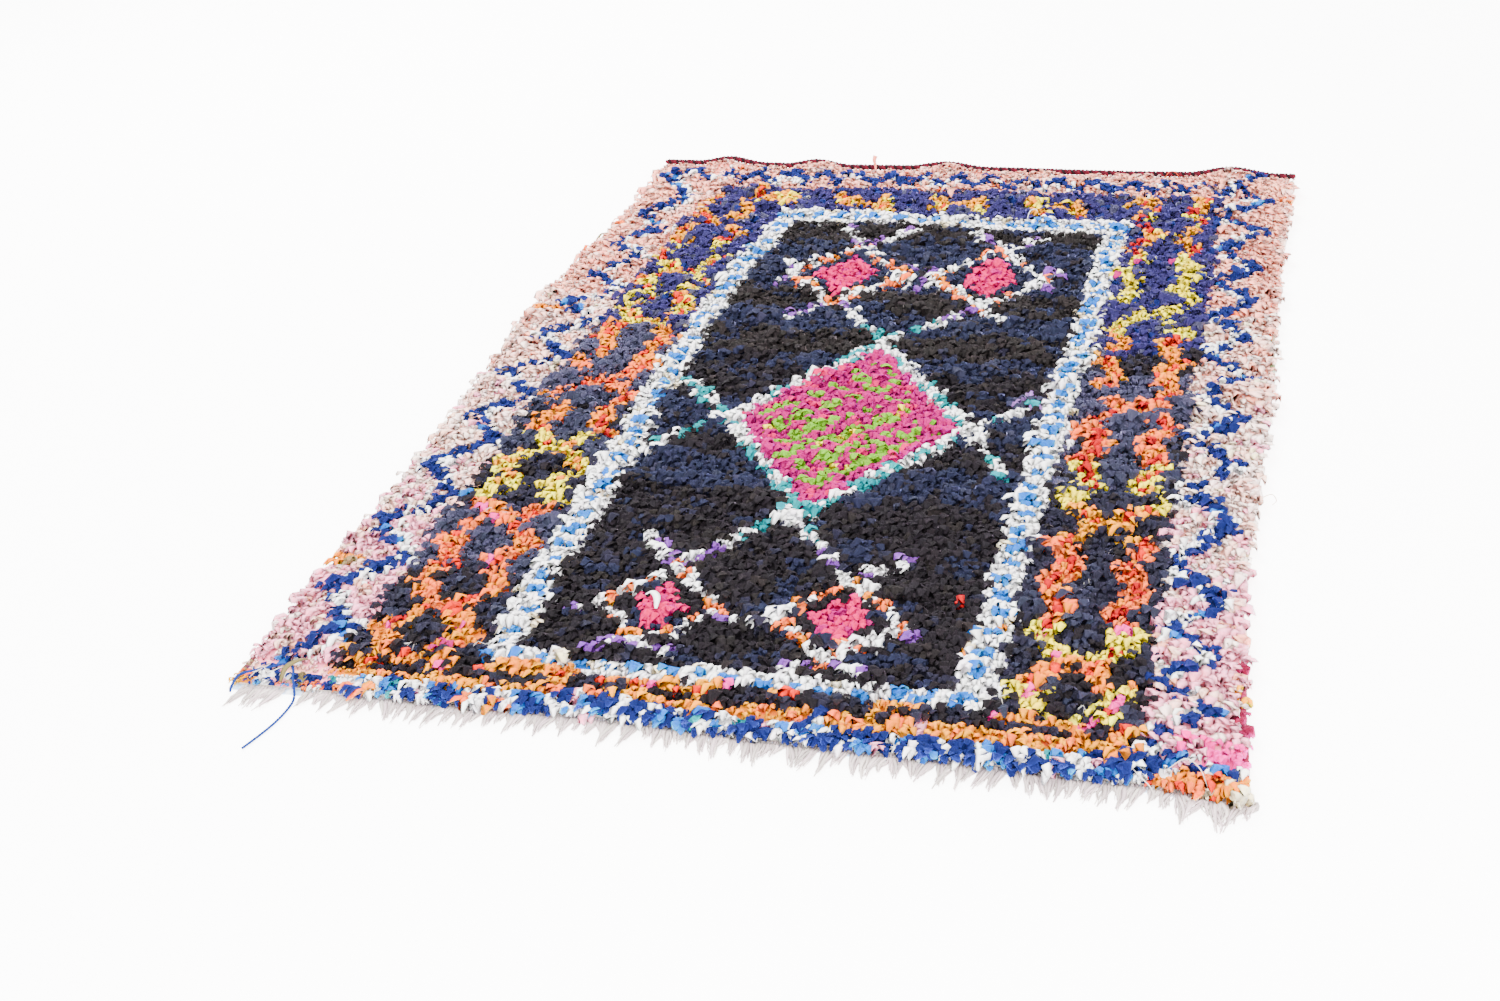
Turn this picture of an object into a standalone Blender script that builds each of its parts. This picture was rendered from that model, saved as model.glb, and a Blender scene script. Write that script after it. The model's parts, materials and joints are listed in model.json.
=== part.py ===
"""A boucherouite rug: a knotted rag pile on a cotton warp, laid flat on the floor.

Metres, +Z up, +Y towards the plaited end, +X to the right seen from the fringed end.
The origin is at floor level, midway across and along the rug without its loose blue yarn.
"""

import math

import bmesh
import bpy
from mathutils import Vector, noise

# Pile, measured to the cloth's own edge and not to the ends of its locks
PILE_WIDTH = 1.50
PILE_LENGTH = 2.168
PILE_HEIGHT = 0.0205
PILE_LUMP = 0.0105
LUMP_SIZE = 0.062
RIM_DROP = 0.0035
FAR_DROP = 0.0055
FAR_SLOPE = 0.060
COLUMNS = 30
ROWS = 42

# Middle of the whole rug without its yarn, seen from the middle of the pile
RUG_CENTRE = Vector((-0.010440, -0.034536, 0.0))

# The pile overhangs a wrapped selvedge on both sides
SHELF_HEIGHT = 0.0100
SELVEDGE_RADIUS = 0.0054
SELVEDGE_INSET = 0.0058
SIDE_WALL_INSET = 0.0124
END_WALL_INSET = 0.0010
SELVEDGE_POINTS = 43

# Rag locks that stand out from the rim
LOCK_REACH = 0.023
LOCK_SKIP = 0.12
STANDING_STRAND_X = -0.214
STANDING_STRAND_TOP = 0.048

# Plaited finish along the far end
PLAIT_WIDTH = 0.0104
PLAIT_HEIGHT = 0.0115
PLAIT_MIDDLE = 0.0100
PLAIT_ZIGZAG = 0.0011
PLAIT_STITCH = 0.0070
PLAIT_GAP = 0.0004

# Woven web and knotted-out warp ends at the near end
WEB_DEPTH = 0.0125
WEB_THICKNESS = 0.0035
PIECE_GAP = 0.0003
FRINGE_PITCH = 0.0166
FRINGE_SHORTEST = 0.036
FRINGE_LONGEST = 0.058
FRINGE_CORNER_EXTRA = 0.014
STRAND_HEIGHTS = (0.0030, 0.0016)
STRAND_WIDTHS = (0.0062, 0.0022)

# Loose blue yarn, and the stretches of rim and of fringe that it lies across
YARN_RADIUS = 0.0022
YARN_STEP = 0.0068
RIM_CROSSINGS = ((-0.80, -0.712), (-0.672, -0.622))
FRINGE_CROSSINGS = ((-0.80, -0.738), (-0.664, -0.628))
# Columns: x, y, z of the points that the yarn runs through, from the middle of the pile
YARN_ROUTE = (
    (-0.7480, -1.1040, 0.0053),
    (-0.7462, -1.1005, 0.0117),
    (-0.7435, -1.0935, 0.0187),
    (-0.7395, -1.0850, 0.0235),
    (-0.7310, -1.0750, 0.0236),
    (-0.7180, -1.0670, 0.0232),
    (-0.7040, -1.0585, 0.0232),
    (-0.6900, -1.0500, 0.0232),
    (-0.6790, -1.0450, 0.0232),
    (-0.6690, -1.0475, 0.0232),
    (-0.6610, -1.0575, 0.0232),
    (-0.6560, -1.0670, 0.0232),
    (-0.6515, -1.0770, 0.0236),
    (-0.6475, -1.0840, 0.0199),
    (-0.6445, -1.0905, 0.0137),
    (-0.6415, -1.0985, 0.0073),
    (-0.6400, -1.1075, 0.0033),
    (-0.6395, -1.1200, 0.0024),
    (-0.6400, -1.1370, 0.0024),
    (-0.6425, -1.1560, 0.0024),
    (-0.6470, -1.1760, 0.0024),
    (-0.6530, -1.1960, 0.0024),
    (-0.6580, -1.2110, 0.0024),
    (-0.6625, -1.2240, 0.0024),
)

# Columns: distance from the near edge, shift of the edge along +X
LEFT_EDGE = (
    (0.00, -0.010),
    (0.23, -0.007),
    (0.47, 0.001),
    (0.71, -0.001),
    (0.89, -0.007),
    (1.07, -0.013),
    (1.26, -0.022),
    (1.56, -0.013),
    (1.70, -0.001),
    (1.92, 0.015),
    (2.07, 0.011),
    (2.168, 0.005),
)
RIGHT_EDGE = (
    (0.00, 0.000),
    (0.23, -0.013),
    (0.47, -0.029),
    (0.71, -0.022),
    (0.89, -0.017),
    (1.20, -0.008),
    (1.32, -0.013),
    (1.68, -0.013),
    (1.92, -0.007),
    (2.168, 0.000),
)
# Columns: x, shift of the edge along +Y
NEAR_EDGE = (
    (-0.75, 0.004),
    (-0.50, 0.009),
    (-0.14, 0.015),
    (0.10, 0.005),
    (0.34, 0.004),
    (0.59, -0.002),
    (0.75, -0.013),
)
# Columns: x of the middle, half its width, height of a ruffle in the far end
RUFFLES = (
    (-0.576, 0.085, 0.013),
    (-0.358, 0.080, 0.012),
    (-0.044, 0.095, 0.011),
    (0.610, 0.100, 0.014),
)
RUFFLE_DEPTH = 0.110

# Base colour, roughness
COLOURS = {
    "pile": ((0.075, 0.062, 0.085), 0.92),
    "warp_fringe": ((0.76, 0.70, 0.67), 0.90),
    "end_plait": ((0.24, 0.045, 0.065), 0.88),
    "selvedge": ((0.30, 0.10, 0.13), 0.90),
    "blue_yarn": ((0.055, 0.10, 0.37), 0.85),
}


def smooth(value):
    """0 below 0, 1 above 1, with a soft start and end."""
    value = min(max(value, 0.0), 1.0)
    return value * value * (3.0 - 2.0 * value)


def from_table(table, at):
    """The second column of a table at this value of its first, blended softly."""
    if at <= table[0][0]:
        return table[0][1]
    for (start, low), (end, high) in zip(table, table[1:]):
        if at <= end:
            return low + (high - low) * smooth((at - start) / (end - start))
    return table[-1][1]


def left_edge(y):
    return -PILE_WIDTH / 2 + from_table(LEFT_EDGE, y + PILE_LENGTH / 2)


def right_edge(y):
    return PILE_WIDTH / 2 + from_table(RIGHT_EDGE, y + PILE_LENGTH / 2)


def near_edge(x):
    return -PILE_LENGTH / 2 + from_table(NEAR_EDGE, x)


def far_edge(x):
    return PILE_LENGTH / 2 + 0.003 * math.cos(9.0 * x)


def lift(x, y):
    """How far a ruffle of the far end raises the cloth from the floor."""
    ramp = smooth((y - PILE_LENGTH / 2 + RUFFLE_DEPTH) / RUFFLE_DEPTH)
    rise = 0.0
    for middle, half_width, height in RUFFLES:
        rise += height * smooth(1.0 - abs(x - middle) / half_width)
    return ramp * rise


def pile_top(x, y, inside):
    """Height of the pile: flat where the yarn lies on it, lower at the rim and far end."""
    lump = noise.noise(Vector((x, y, 0.0)) / LUMP_SIZE)
    lump += 0.8 * noise.noise(Vector((x, y, 0.7)) / (0.5 * LUMP_SIZE))
    corner = smooth((-0.54 - x) / 0.04) * smooth((-0.98 - y) / 0.04)
    height = PILE_HEIGHT + PILE_LUMP * lump * (1.0 - corner) * inside
    height -= FAR_DROP * smooth((y - PILE_LENGTH / 2 + FAR_SLOPE) / FAR_SLOPE)
    return height - RIM_DROP * (1.0 - corner) * (1.0 - inside) + lift(x, y)


def on_cloth(u, v, side_inset, end_inset):
    """The point of the cloth at u across and v along it, both from -0.5 to 0.5."""
    y = v * PILE_LENGTH
    left, right = left_edge(y) + side_inset, right_edge(y) - side_inset
    x = left + (right - left) * (u + 0.5)
    near, far = near_edge(x) + end_inset, far_edge(x) - end_inset
    return x, near + (far - near) * (v + 0.5)


def chance_at(place, seed):
    """A repeatable value from 0 to 1 for a place on the rug."""
    return 0.5 + 0.5 * noise.cell(Vector((place.x * 731.0, place.y * 523.0, seed + 0.5)))


def material(name):
    colour, roughness = COLOURS[name]
    made = bpy.data.materials.new(name)
    made.use_nodes = True
    shader = made.node_tree.nodes["Principled BSDF"]
    shader.inputs["Base Color"].default_value = (*colour, 1.0)
    shader.inputs["Roughness"].default_value = roughness
    shader.inputs["Metallic"].default_value = 0.0
    return made


def add_object(name, data, finish, collection):
    obj = bpy.data.objects.new(name, data)
    data.materials.append(finish)
    collection.objects.link(obj)
    obj.location = -RUG_CENTRE
    return obj


def mesh_object(name, bm, finish, collection):
    bmesh.ops.recalc_face_normals(bm, faces=bm.faces)
    mesh = bpy.data.meshes.new(name)
    bm.to_mesh(mesh)
    bm.free()
    return add_object(name, mesh, finish, collection)


def under_yarn(x, crossings):
    return any(low < x < high for low, high in crossings)


def pull_lock(bm, face, rings):
    """Extrudes a rim face through rings of offset, width share and height share."""
    root = face.calc_center_median()
    for offset, width, height in rings:
        face = bmesh.ops.extrude_discrete_faces(bm, faces=[face])["faces"][0]
        middle = face.calc_center_median()
        for vert in face.verts:
            spread = vert.co - middle
            spread = Vector((spread.x * width, spread.y * width, spread.z * height))
            vert.co = root + offset + spread


def pull_rim_locks(bm, faces):
    """Draws rag locks out of the rim, leaning towards the near end and drooping."""
    strand_rise = STANDING_STRAND_TOP - PILE_HEIGHT
    standing = (
        (Vector((0.0, 0.002, 0.003)), 0.14, 0.5),
        (Vector((0.002, 0.001, 0.5 * strand_rise)), 0.8, 0.6),
        (Vector((-0.001, 0.0, strand_rise + 0.006)), 0.6, 0.3),
    )
    for face in sorted(faces, key=lambda f: tuple(round(c, 4) for c in f.calc_center_median())):
        middle = face.calc_center_median()
        outward = Vector((face.normal.x, face.normal.y, 0.0)).normalized()
        if outward.y > 0.7:
            if abs(middle.x - STANDING_STRAND_X) < 0.013:
                pull_lock(bm, face, standing)
            continue
        chance, length = chance_at(middle, 1.0), chance_at(middle, 2.0)
        near_corner = middle.y < near_edge(middle.x) + 0.03
        if chance < LOCK_SKIP or (near_corner and under_yarn(middle.x, RIM_CROSSINGS)):
            continue
        drop = 0.0045 if outward.y < -0.7 else 0.0048 + 0.0032 * length
        reach = LOCK_REACH * (0.6 + 0.4 * length)
        outward += Vector((0.35 * (chance - 0.5), -0.25 - 0.3 * length, 0.0))
        outward.normalize()
        middle_ring = outward * reach * 0.5 - Vector((0.0, 0.0, 0.25 * drop))
        end_ring = outward * reach - Vector((0.0, 0.0, drop))
        pull_lock(bm, face, ((middle_ring, 0.68, 0.8), (end_ring, 0.45, 0.5)))


def build_pile(collection):
    """The lumpy slab: its top and its underside are two like grids, joined by the rim."""
    bm = bmesh.new()
    bmesh.ops.create_grid(bm, x_segments=COLUMNS, y_segments=ROWS, size=0.5)
    rim = [edge for edge in bm.edges if edge.is_boundary]
    bmesh.ops.bisect_edges(bm, edges=rim, cuts=1)
    top_verts = list(bm.verts)
    sheet = list(bm.verts) + list(bm.edges) + list(bm.faces)
    under = bmesh.ops.duplicate(bm, geom=sheet)["geom"]
    under_verts = [part for part in under if isinstance(part, bmesh.types.BMVert)]
    under_faces = [part for part in under if isinstance(part, bmesh.types.BMFace)]

    rings = []
    edges = [e for e in bm.edges if e.is_boundary and e.verts[0] in set(top_verts)]
    band_faces = []
    for _ in range(3):
        made = bmesh.ops.extrude_edge_only(bm, edges=edges)["geom"]
        edges = [part for part in made if isinstance(part, bmesh.types.BMEdge)]
        edges = [edge for edge in edges if edge.is_boundary]
        rings.append([part for part in made if isinstance(part, bmesh.types.BMVert)])
        band_faces.append([part for part in made if isinstance(part, bmesh.types.BMFace)])

    for vert in top_verts:
        u, v = vert.co.x, vert.co.y
        inside = 0.0 if vert.is_boundary or max(abs(u), abs(v)) > 0.4999 else 1.0
        x, y = on_cloth(u, v, 0.0, 0.0)
        vert.co = (x, y, pile_top(x, y, inside))
    for ring, inset in zip(rings, (0.0, 1.0, 1.0)):
        for vert in ring:
            x, y = on_cloth(vert.co.x, vert.co.y, inset * SIDE_WALL_INSET, inset * END_WALL_INSET)
            height = 0.0 if ring is rings[2] else SHELF_HEIGHT
            vert.co = (x, y, height + lift(x, y))
    for vert in under_verts:
        x, y = on_cloth(vert.co.x, vert.co.y, SIDE_WALL_INSET, END_WALL_INSET)
        vert.co = (x, y, lift(x, y))
    bmesh.ops.remove_doubles(bm, verts=rings[2] + under_verts, dist=0.00001)
    flat = [f for f in under_faces if f.is_valid and all(abs(v.co.z) < 1e-6 for v in f.verts)]
    bmesh.ops.dissolve_faces(bm, faces=flat, use_verts=True)
    bmesh.ops.recalc_face_normals(bm, faces=bm.faces)

    pull_rim_locks(bm, band_faces[0])
    return mesh_object("pile", bm, material("pile"), collection)


def fringe_length(x):
    """Warp ends are cut unevenly, and the clump at the right corner is the longest."""
    wave = 0.5 + 0.5 * noise.noise(Vector((x * 31.0, 4.0, 0.0)))
    length = FRINGE_SHORTEST + (FRINGE_LONGEST - FRINGE_SHORTEST) * wave
    return length + FRINGE_CORNER_EXTRA * smooth((x - 0.60) / 0.10)


def build_fringe(collection):
    """A narrow web along the near edge, with the warp ends lying level on the floor."""
    segments = 2 * round(PILE_WIDTH / FRINGE_PITCH) - 1
    bm = bmesh.new()
    bmesh.ops.create_cube(bm, size=1.0)
    lengthways = [e for e in bm.edges if abs(e.verts[0].co.x - e.verts[1].co.x) > 0.5]
    bmesh.ops.subdivide_edges(bm, edges=lengthways, cuts=segments - 1, use_grid_fill=True)
    left, right = left_edge(-PILE_LENGTH / 2) + 0.002, right_edge(-PILE_LENGTH / 2) - 0.002
    for vert in bm.verts:
        place = Vector((round((vert.co.x + 0.5) * segments), 0.0, 0.0))
        shift = 0.0016 * (chance_at(place, 5.0) - 0.5)
        x = left + (right - left) * (vert.co.x + 0.5) + shift
        depth = PIECE_GAP - END_WALL_INSET + (0.0 if vert.co.y > 0 else WEB_DEPTH)
        vert.co = (x, near_edge(x) - depth, WEB_THICKNESS if vert.co.z > 0 else 0.0)
    roots = [f for f in bm.faces if f.normal.y < -0.7]
    roots = sorted(roots, key=lambda f: f.calc_center_median().x)[::2]
    for face in roots:
        root = face.calc_center_median()
        if under_yarn(root.x, FRINGE_CROSSINGS):
            continue
        length = fringe_length(root.x)
        lean = 0.30 * noise.noise(Vector((root.x * 9.0, 8.0, 0.0))) - 0.05
        lean -= 0.45 * smooth((-0.66 - root.x) / 0.06)
        lean += 0.10 * noise.noise(Vector((root.x * 40.0, 2.0, 0.0)))
        for step, share in enumerate((0.5, 1.0)):
            face = bmesh.ops.extrude_discrete_faces(bm, faces=[face])["faces"][0]
            middle = face.calc_center_median()
            bend = lean * (0.7 if step == 0 else 1.0)
            for vert in face.verts:
                side = math.copysign(0.5, vert.co.x - middle.x)
                x = root.x + length * share * bend + side * STRAND_WIDTHS[step]
                high = vert.co.z > middle.z
                vert.co = (x, root.y - length * share, STRAND_HEIGHTS[step] if high else 0.0)
    bmesh.ops.dissolve_limit(bm, angle_limit=0.001, verts=bm.verts, edges=bm.edges)
    return mesh_object("warp_fringe", bm, material("warp_fringe"), collection)


def curve_object(name, points, finish, collection):
    curve = bpy.data.curves.new(name, "CURVE")
    curve.dimensions = "3D"
    curve.use_fill_caps = True
    spline = curve.splines.new("POLY")
    spline.points.add(len(points) - 1)
    for point, place in zip(spline.points, points):
        point.co = (*place, 1.0)
    return add_object(name, curve, finish, collection)


def build_plait(collection, helpers):
    """A flat plait along the far edge, each half stitch bulging to its own side."""
    profile = bpy.data.curves.new("plait_profile", "CURVE")
    profile.dimensions = "2D"
    outline = profile.splines.new("POLY")
    corners = ((-0.5, 0.05), (0.0, 0.5), (0.5, 0.05), (0.34, -0.5), (-0.34, -0.5))
    outline.points.add(len(corners) - 1)
    for point, (across, up) in zip(outline.points, corners):
        point.co = (across * PLAIT_WIDTH, up * PLAIT_HEIGHT, 0.0, 1.0)
    outline.use_cyclic_u = True
    guide = bpy.data.objects.new("plait_profile", profile)
    guide.hide_render = True
    guide.display_type = "WIRE"
    helpers.objects.link(guide)

    start = left_edge(PILE_LENGTH / 2) + 0.001
    end = right_edge(PILE_LENGTH / 2) - 0.001
    count = 2 * round((end - start) / PLAIT_STITCH)
    points = []
    for number in range(count + 1):
        x = start + (end - start) * number / count
        bulge = PLAIT_ZIGZAG * (1 if number % 2 else -1)
        y = far_edge(x) + PLAIT_GAP + PLAIT_WIDTH / 2 + PLAIT_ZIGZAG + bulge
        points.append((x, y, PLAIT_MIDDLE + lift(x, far_edge(x))))
    plait = curve_object("end_plait", points, material("end_plait"), collection)
    plait.data.bevel_mode = "OBJECT"
    plait.data.bevel_object = guide
    plait.data.twist_mode = "Z_UP"
    return plait


def build_selvedge(side, edge, finish, collection):
    """The wrapped outer warps along one side, under the overhanging pile."""
    points = []
    length = PILE_LENGTH - 0.004
    for number in range(SELVEDGE_POINTS):
        v = number / (SELVEDGE_POINTS - 1) - 0.5
        y = near_edge(edge(-PILE_LENGTH / 2)) + 0.002 + (v + 0.5) * length
        y = min(y, far_edge(edge(PILE_LENGTH / 2)) - 0.001)
        x = edge(y) + (SELVEDGE_INSET if side == "left" else -SELVEDGE_INSET)
        points.append((x, y, PIECE_GAP + SELVEDGE_RADIUS * math.cos(math.pi / 6)))
    cord = curve_object("selvedge_" + side, points, finish, collection)
    cord.data.bevel_depth = SELVEDGE_RADIUS
    cord.data.bevel_resolution = 1
    return cord


def smooth_route(route, step):
    """Points about one step apart on a smooth curve through the route."""
    route = [Vector(place) for place in route]
    ends = [2 * route[0] - route[1], *route, 2 * route[-1] - route[-2]]
    points = []
    for a, b, c, d in zip(ends, ends[1:], ends[2:], ends[3:]):
        pieces = max(1, round((c - b).length / step))
        for number in range(pieces):
            t = number / pieces
            bend = 2 * b + (c - a) * t + (2 * a - 5 * b + 4 * c - d) * t * t
            points.append(0.5 * (bend + (3 * b - a - 3 * c + d) * t * t * t))
    return points + [route[-1]]


def build_yarn(collection):
    """A loose end of blue yarn over the near left corner and out onto the floor."""
    points = smooth_route(YARN_ROUTE, YARN_STEP)
    yarn = curve_object("blue_yarn", points, material("blue_yarn"), collection)
    yarn.data.bevel_depth = YARN_RADIUS
    yarn.data.bevel_resolution = 2
    return yarn


def main():
    for obj in list(bpy.data.objects):
        bpy.data.objects.remove(obj, do_unlink=True)
    rug = bpy.data.collections.new("boucherouite_rug")
    helpers = bpy.data.collections.new("guides")
    bpy.context.scene.collection.children.link(rug)
    bpy.context.scene.collection.children.link(helpers)
    build_pile(rug)
    build_fringe(rug)
    build_plait(rug, helpers)
    wrapping = material("selvedge")
    build_selvedge("left", left_edge, wrapping, rug)
    build_selvedge("right", right_edge, wrapping, rug)
    build_yarn(rug)


main()
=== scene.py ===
"""Looks of a boucherouite rug: rag pile on a cotton ground, laid flat on a pale floor."""

import json
import math
import random

import bmesh
import bpy
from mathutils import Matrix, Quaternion, Vector, noise

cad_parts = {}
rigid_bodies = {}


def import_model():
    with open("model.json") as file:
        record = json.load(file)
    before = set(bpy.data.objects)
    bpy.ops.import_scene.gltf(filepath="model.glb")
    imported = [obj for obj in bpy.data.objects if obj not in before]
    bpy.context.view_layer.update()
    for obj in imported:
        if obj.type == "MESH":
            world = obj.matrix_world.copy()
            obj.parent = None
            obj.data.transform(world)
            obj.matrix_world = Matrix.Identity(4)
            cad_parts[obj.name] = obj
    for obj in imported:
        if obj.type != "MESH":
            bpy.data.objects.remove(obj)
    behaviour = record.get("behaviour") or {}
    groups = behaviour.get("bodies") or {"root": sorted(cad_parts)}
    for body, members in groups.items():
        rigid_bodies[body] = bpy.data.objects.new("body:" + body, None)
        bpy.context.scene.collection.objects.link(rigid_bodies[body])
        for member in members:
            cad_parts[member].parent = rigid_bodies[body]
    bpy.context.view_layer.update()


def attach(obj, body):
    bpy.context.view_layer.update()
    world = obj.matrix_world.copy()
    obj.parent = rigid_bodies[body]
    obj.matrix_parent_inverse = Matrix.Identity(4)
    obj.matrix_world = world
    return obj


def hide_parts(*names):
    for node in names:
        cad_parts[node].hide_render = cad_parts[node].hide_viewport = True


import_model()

# Camera
# Stands off the near right corner and looks down along the rug, turned a little
# clockwise, as the photograph was taken.
camera_place = Vector((0.760, -3.044, 1.645))
camera_target = Vector((-0.100, -0.405, 0.0))
camera_roll = Quaternion((0.0, 0.0, 1.0), math.radians(-5.24))


def add_object(name, data):
    """A new object at the origin of the scene."""
    made = bpy.data.objects.new(name, data)
    bpy.context.scene.collection.objects.link(made)
    return made


def aim_at(made, place, target, roll=Quaternion()):
    """Puts a camera or a light at its place, turned to the target."""
    made.location = place
    aim = (Vector(target) - Vector(place)).to_track_quat("-Z", "Y")
    made.rotation_euler = (aim @ roll).to_euler()


camera_data = bpy.data.cameras.new("camera")
camera_data.sensor_width = 36.0
camera_data.lens = 45.1
camera = add_object("camera", camera_data)
aim_at(camera, camera_place, camera_target, camera_roll)
bpy.context.scene.camera = camera

# Blue yarn
# A loose end of two-ply wool yarn. It leaves the near left corner, lies over the
# pile there, drops past the web and ends bare on the floor.
pile_middle = Vector((0.01044, 0.034536, 0.0))
yarn_diameter = 0.0044
yarn_route = [
    Vector(place)
    for place in (
        (-0.7480, -1.1040, 0.0053),
        (-0.7462, -1.1005, 0.0117),
        (-0.7435, -1.0935, 0.0187),
        (-0.7395, -1.0850, 0.0235),
        (-0.7310, -1.0750, 0.0236),
        (-0.7180, -1.0670, 0.0232),
        (-0.7040, -1.0585, 0.0232),
        (-0.6900, -1.0500, 0.0232),
        (-0.6790, -1.0450, 0.0232),
        (-0.6690, -1.0475, 0.0232),
        (-0.6610, -1.0575, 0.0232),
        (-0.6560, -1.0670, 0.0232),
        (-0.6515, -1.0770, 0.0236),
        (-0.6475, -1.0840, 0.0199),
        (-0.6445, -1.0905, 0.0137),
        (-0.6415, -1.0985, 0.0073),
        (-0.6400, -1.1075, 0.0033),
        (-0.6395, -1.1200, 0.0024),
        (-0.6400, -1.1370, 0.0024),
        (-0.6425, -1.1560, 0.0024),
        (-0.6470, -1.1760, 0.0024),
        (-0.6530, -1.1960, 0.0024),
        (-0.6580, -1.2110, 0.0024),
        (-0.6625, -1.2240, 0.0024),
    )
]


def smooth_route(route, step):
    """Points about one step apart on a smooth curve through the route."""
    ends = [2 * route[0] - route[1], *route, 2 * route[-1] - route[-2]]
    points = []
    for a, b, c, d in zip(ends, ends[1:], ends[2:], ends[3:]):
        pieces = max(1, round((c - b).length / step))
        for number in range(pieces):
            t = number / pieces
            bend = 2 * b + (c - a) * t + (2 * a - 5 * b + 4 * c - d) * t * t
            points.append(0.5 * (bend + (3 * b - a - 3 * c + d) * t * t * t))
    return points + [route[-1]]


def sweep(bm, points, section, layers=(), up=Vector((0.0, 0.0, 1.0))):
    """Closed tube along points. section(i, s) gives each ring's (across, up) corners at
    distance s; layers are (layer, value(i, s)) pairs stored on each ring's verts."""
    rings = []
    distance = 0.0
    for i, point in enumerate(points):
        before, after = points[max(i - 1, 0)], points[min(i + 1, len(points) - 1)]
        ahead = (after - before).normalized()
        across = ahead.cross(up).normalized()
        upward = across.cross(ahead)
        if i:
            distance += (point - points[i - 1]).length
        ring = []
        for side, rise in section(i, distance):
            vert = bm.verts.new(point + across * side + upward * rise)
            for layer, value in layers:
                vert[layer] = value(i, distance)
            ring.append(vert)
        rings.append(ring)
    count = len(rings[0])
    for first, second in zip(rings, rings[1:]):
        for k in range(count):
            after = (k + 1) % count
            bm.faces.new((first[k], first[after], second[after], second[k]))
    bm.faces.new(list(reversed(rings[0])))
    bm.faces.new(rings[-1])


def finish_mesh(name, bm, material, smooth=True):
    """Makes the piece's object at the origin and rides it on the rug."""
    bmesh.ops.recalc_face_normals(bm, faces=bm.faces)
    bmesh.ops.translate(bm, verts=bm.verts, vec=pile_middle)
    mesh = bpy.data.meshes.new(name)
    bm.to_mesh(mesh)
    bm.free()
    if smooth:
        mesh.shade_smooth()
    mesh.materials.append(material)
    piece = add_object(name, mesh)
    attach(piece, "root")
    return piece


def srgb(red, green, blue):
    """Scene-linear colour from the 0 to 255 values that a screen shows."""
    linear = []
    for value in (red, green, blue):
        value /= 255.0
        linear.append(value / 12.92 if value <= 0.04045 else ((value + 0.055) / 1.055) ** 2.4)
    return (*linear, 1.0)


def feed(tree, socket, value):
    """Links a socket to the value if that is one too, or else sets it."""
    if isinstance(value, bpy.types.NodeSocket):
        tree.links.new(value, socket)
    else:
        socket.default_value = value


def add_node(tree, kind, inputs=(), **settings):
    """A new node with these settings, and its inputs linked or set by name or number."""
    made = tree.nodes.new(kind)
    for name, value in settings.items():
        setattr(made, name, value)
    for name, value in dict(inputs).items():
        feed(tree, made.inputs[name], value)
    return made


def fibre_material(name, grain, bump_depth, colours=None, roughness=0.92, dim=0.72):
    """Matte spun fibre: two close colours mixed in fine streaks, with a soft fuzz.
    Without colours, those are the mesh's tone and the same dimmed."""
    material = bpy.data.materials.new(name)
    material.use_nodes = True
    tree = material.node_tree
    shader = tree.nodes["Principled BSDF"]
    shader.inputs["Roughness"].default_value = roughness
    shader.inputs["Specular IOR Level"].default_value = 0.06
    place = add_node(tree, "ShaderNodeTexCoord").outputs["Object"]
    streaks = add_node(
        tree, "ShaderNodeTexNoise", {"Vector": place, "Scale": grain, "Detail": 3.0}
    )
    spread = add_node(
        tree,
        "ShaderNodeMapRange",
        {"Value": streaks.outputs["Fac"], "From Min": 0.35, "From Max": 0.65},
    )
    if colours is None:
        tone = add_node(tree, "ShaderNodeAttribute", attribute_name="tone").outputs["Color"]
        dimmed = {"Factor": 1.0, "A": tone, "B": (dim, 0.98 * dim, dim, 1.0)}
        darker = add_node(
            tree, "ShaderNodeMix", dimmed, data_type="RGBA", blend_type="MULTIPLY"
        )
        colours = (darker.outputs["Result"], tone)
    mixed = {"Factor": spread.outputs["Result"], "A": colours[0], "B": colours[1]}
    colour = add_node(tree, "ShaderNodeMix", mixed, data_type="RGBA")
    feed(tree, shader.inputs["Base Color"], colour.outputs["Result"])
    fuzz = add_node(tree, "ShaderNodeTexNoise", {"Vector": place, "Scale": 3.0 * grain})
    rough = {"Height": fuzz.outputs["Fac"], "Strength": 0.6, "Distance": bump_depth}
    bump = add_node(tree, "ShaderNodeBump", rough)
    feed(tree, shader.inputs["Normal"], bump.outputs["Normal"])
    return material


yarn_points = smooth_route(yarn_route, 0.0009)
yarn_ply_pitch = 0.010


def yarn_section(_, distance):
    """Two plies side by side, turning once in each pitch."""
    turn = math.tau * distance / yarn_ply_pitch
    corners = []
    for k in range(10):
        angle = math.tau * k / 10
        reach = yarn_diameter / 2 * (0.88 + 0.12 * math.cos(2 * (angle - turn)))
        corners.append((reach * math.cos(angle), reach * math.sin(angle)))
    return corners


yarn_wool = fibre_material("blue_wool", 900.0, 0.0004, (srgb(10, 24, 70), srgb(24, 46, 112)))
yarn_mesh = bmesh.new()
sweep(yarn_mesh, yarn_points, yarn_section)
blue_yarn = finish_mesh("blue_yarn_plied", yarn_mesh, yarn_wool)
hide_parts("blue_yarn")

# Ground cloth
# Plain-woven cotton ground that carries the knots. It is one sheet as wide as the rug,
# wavy at its edges and ruffled at the far end. Underneath, the backs of the knots show.
cloth_width = 1.50
cloth_length = 2.168
ground_thickness = 0.006
knots_across = 114
knots_along = 120
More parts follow.
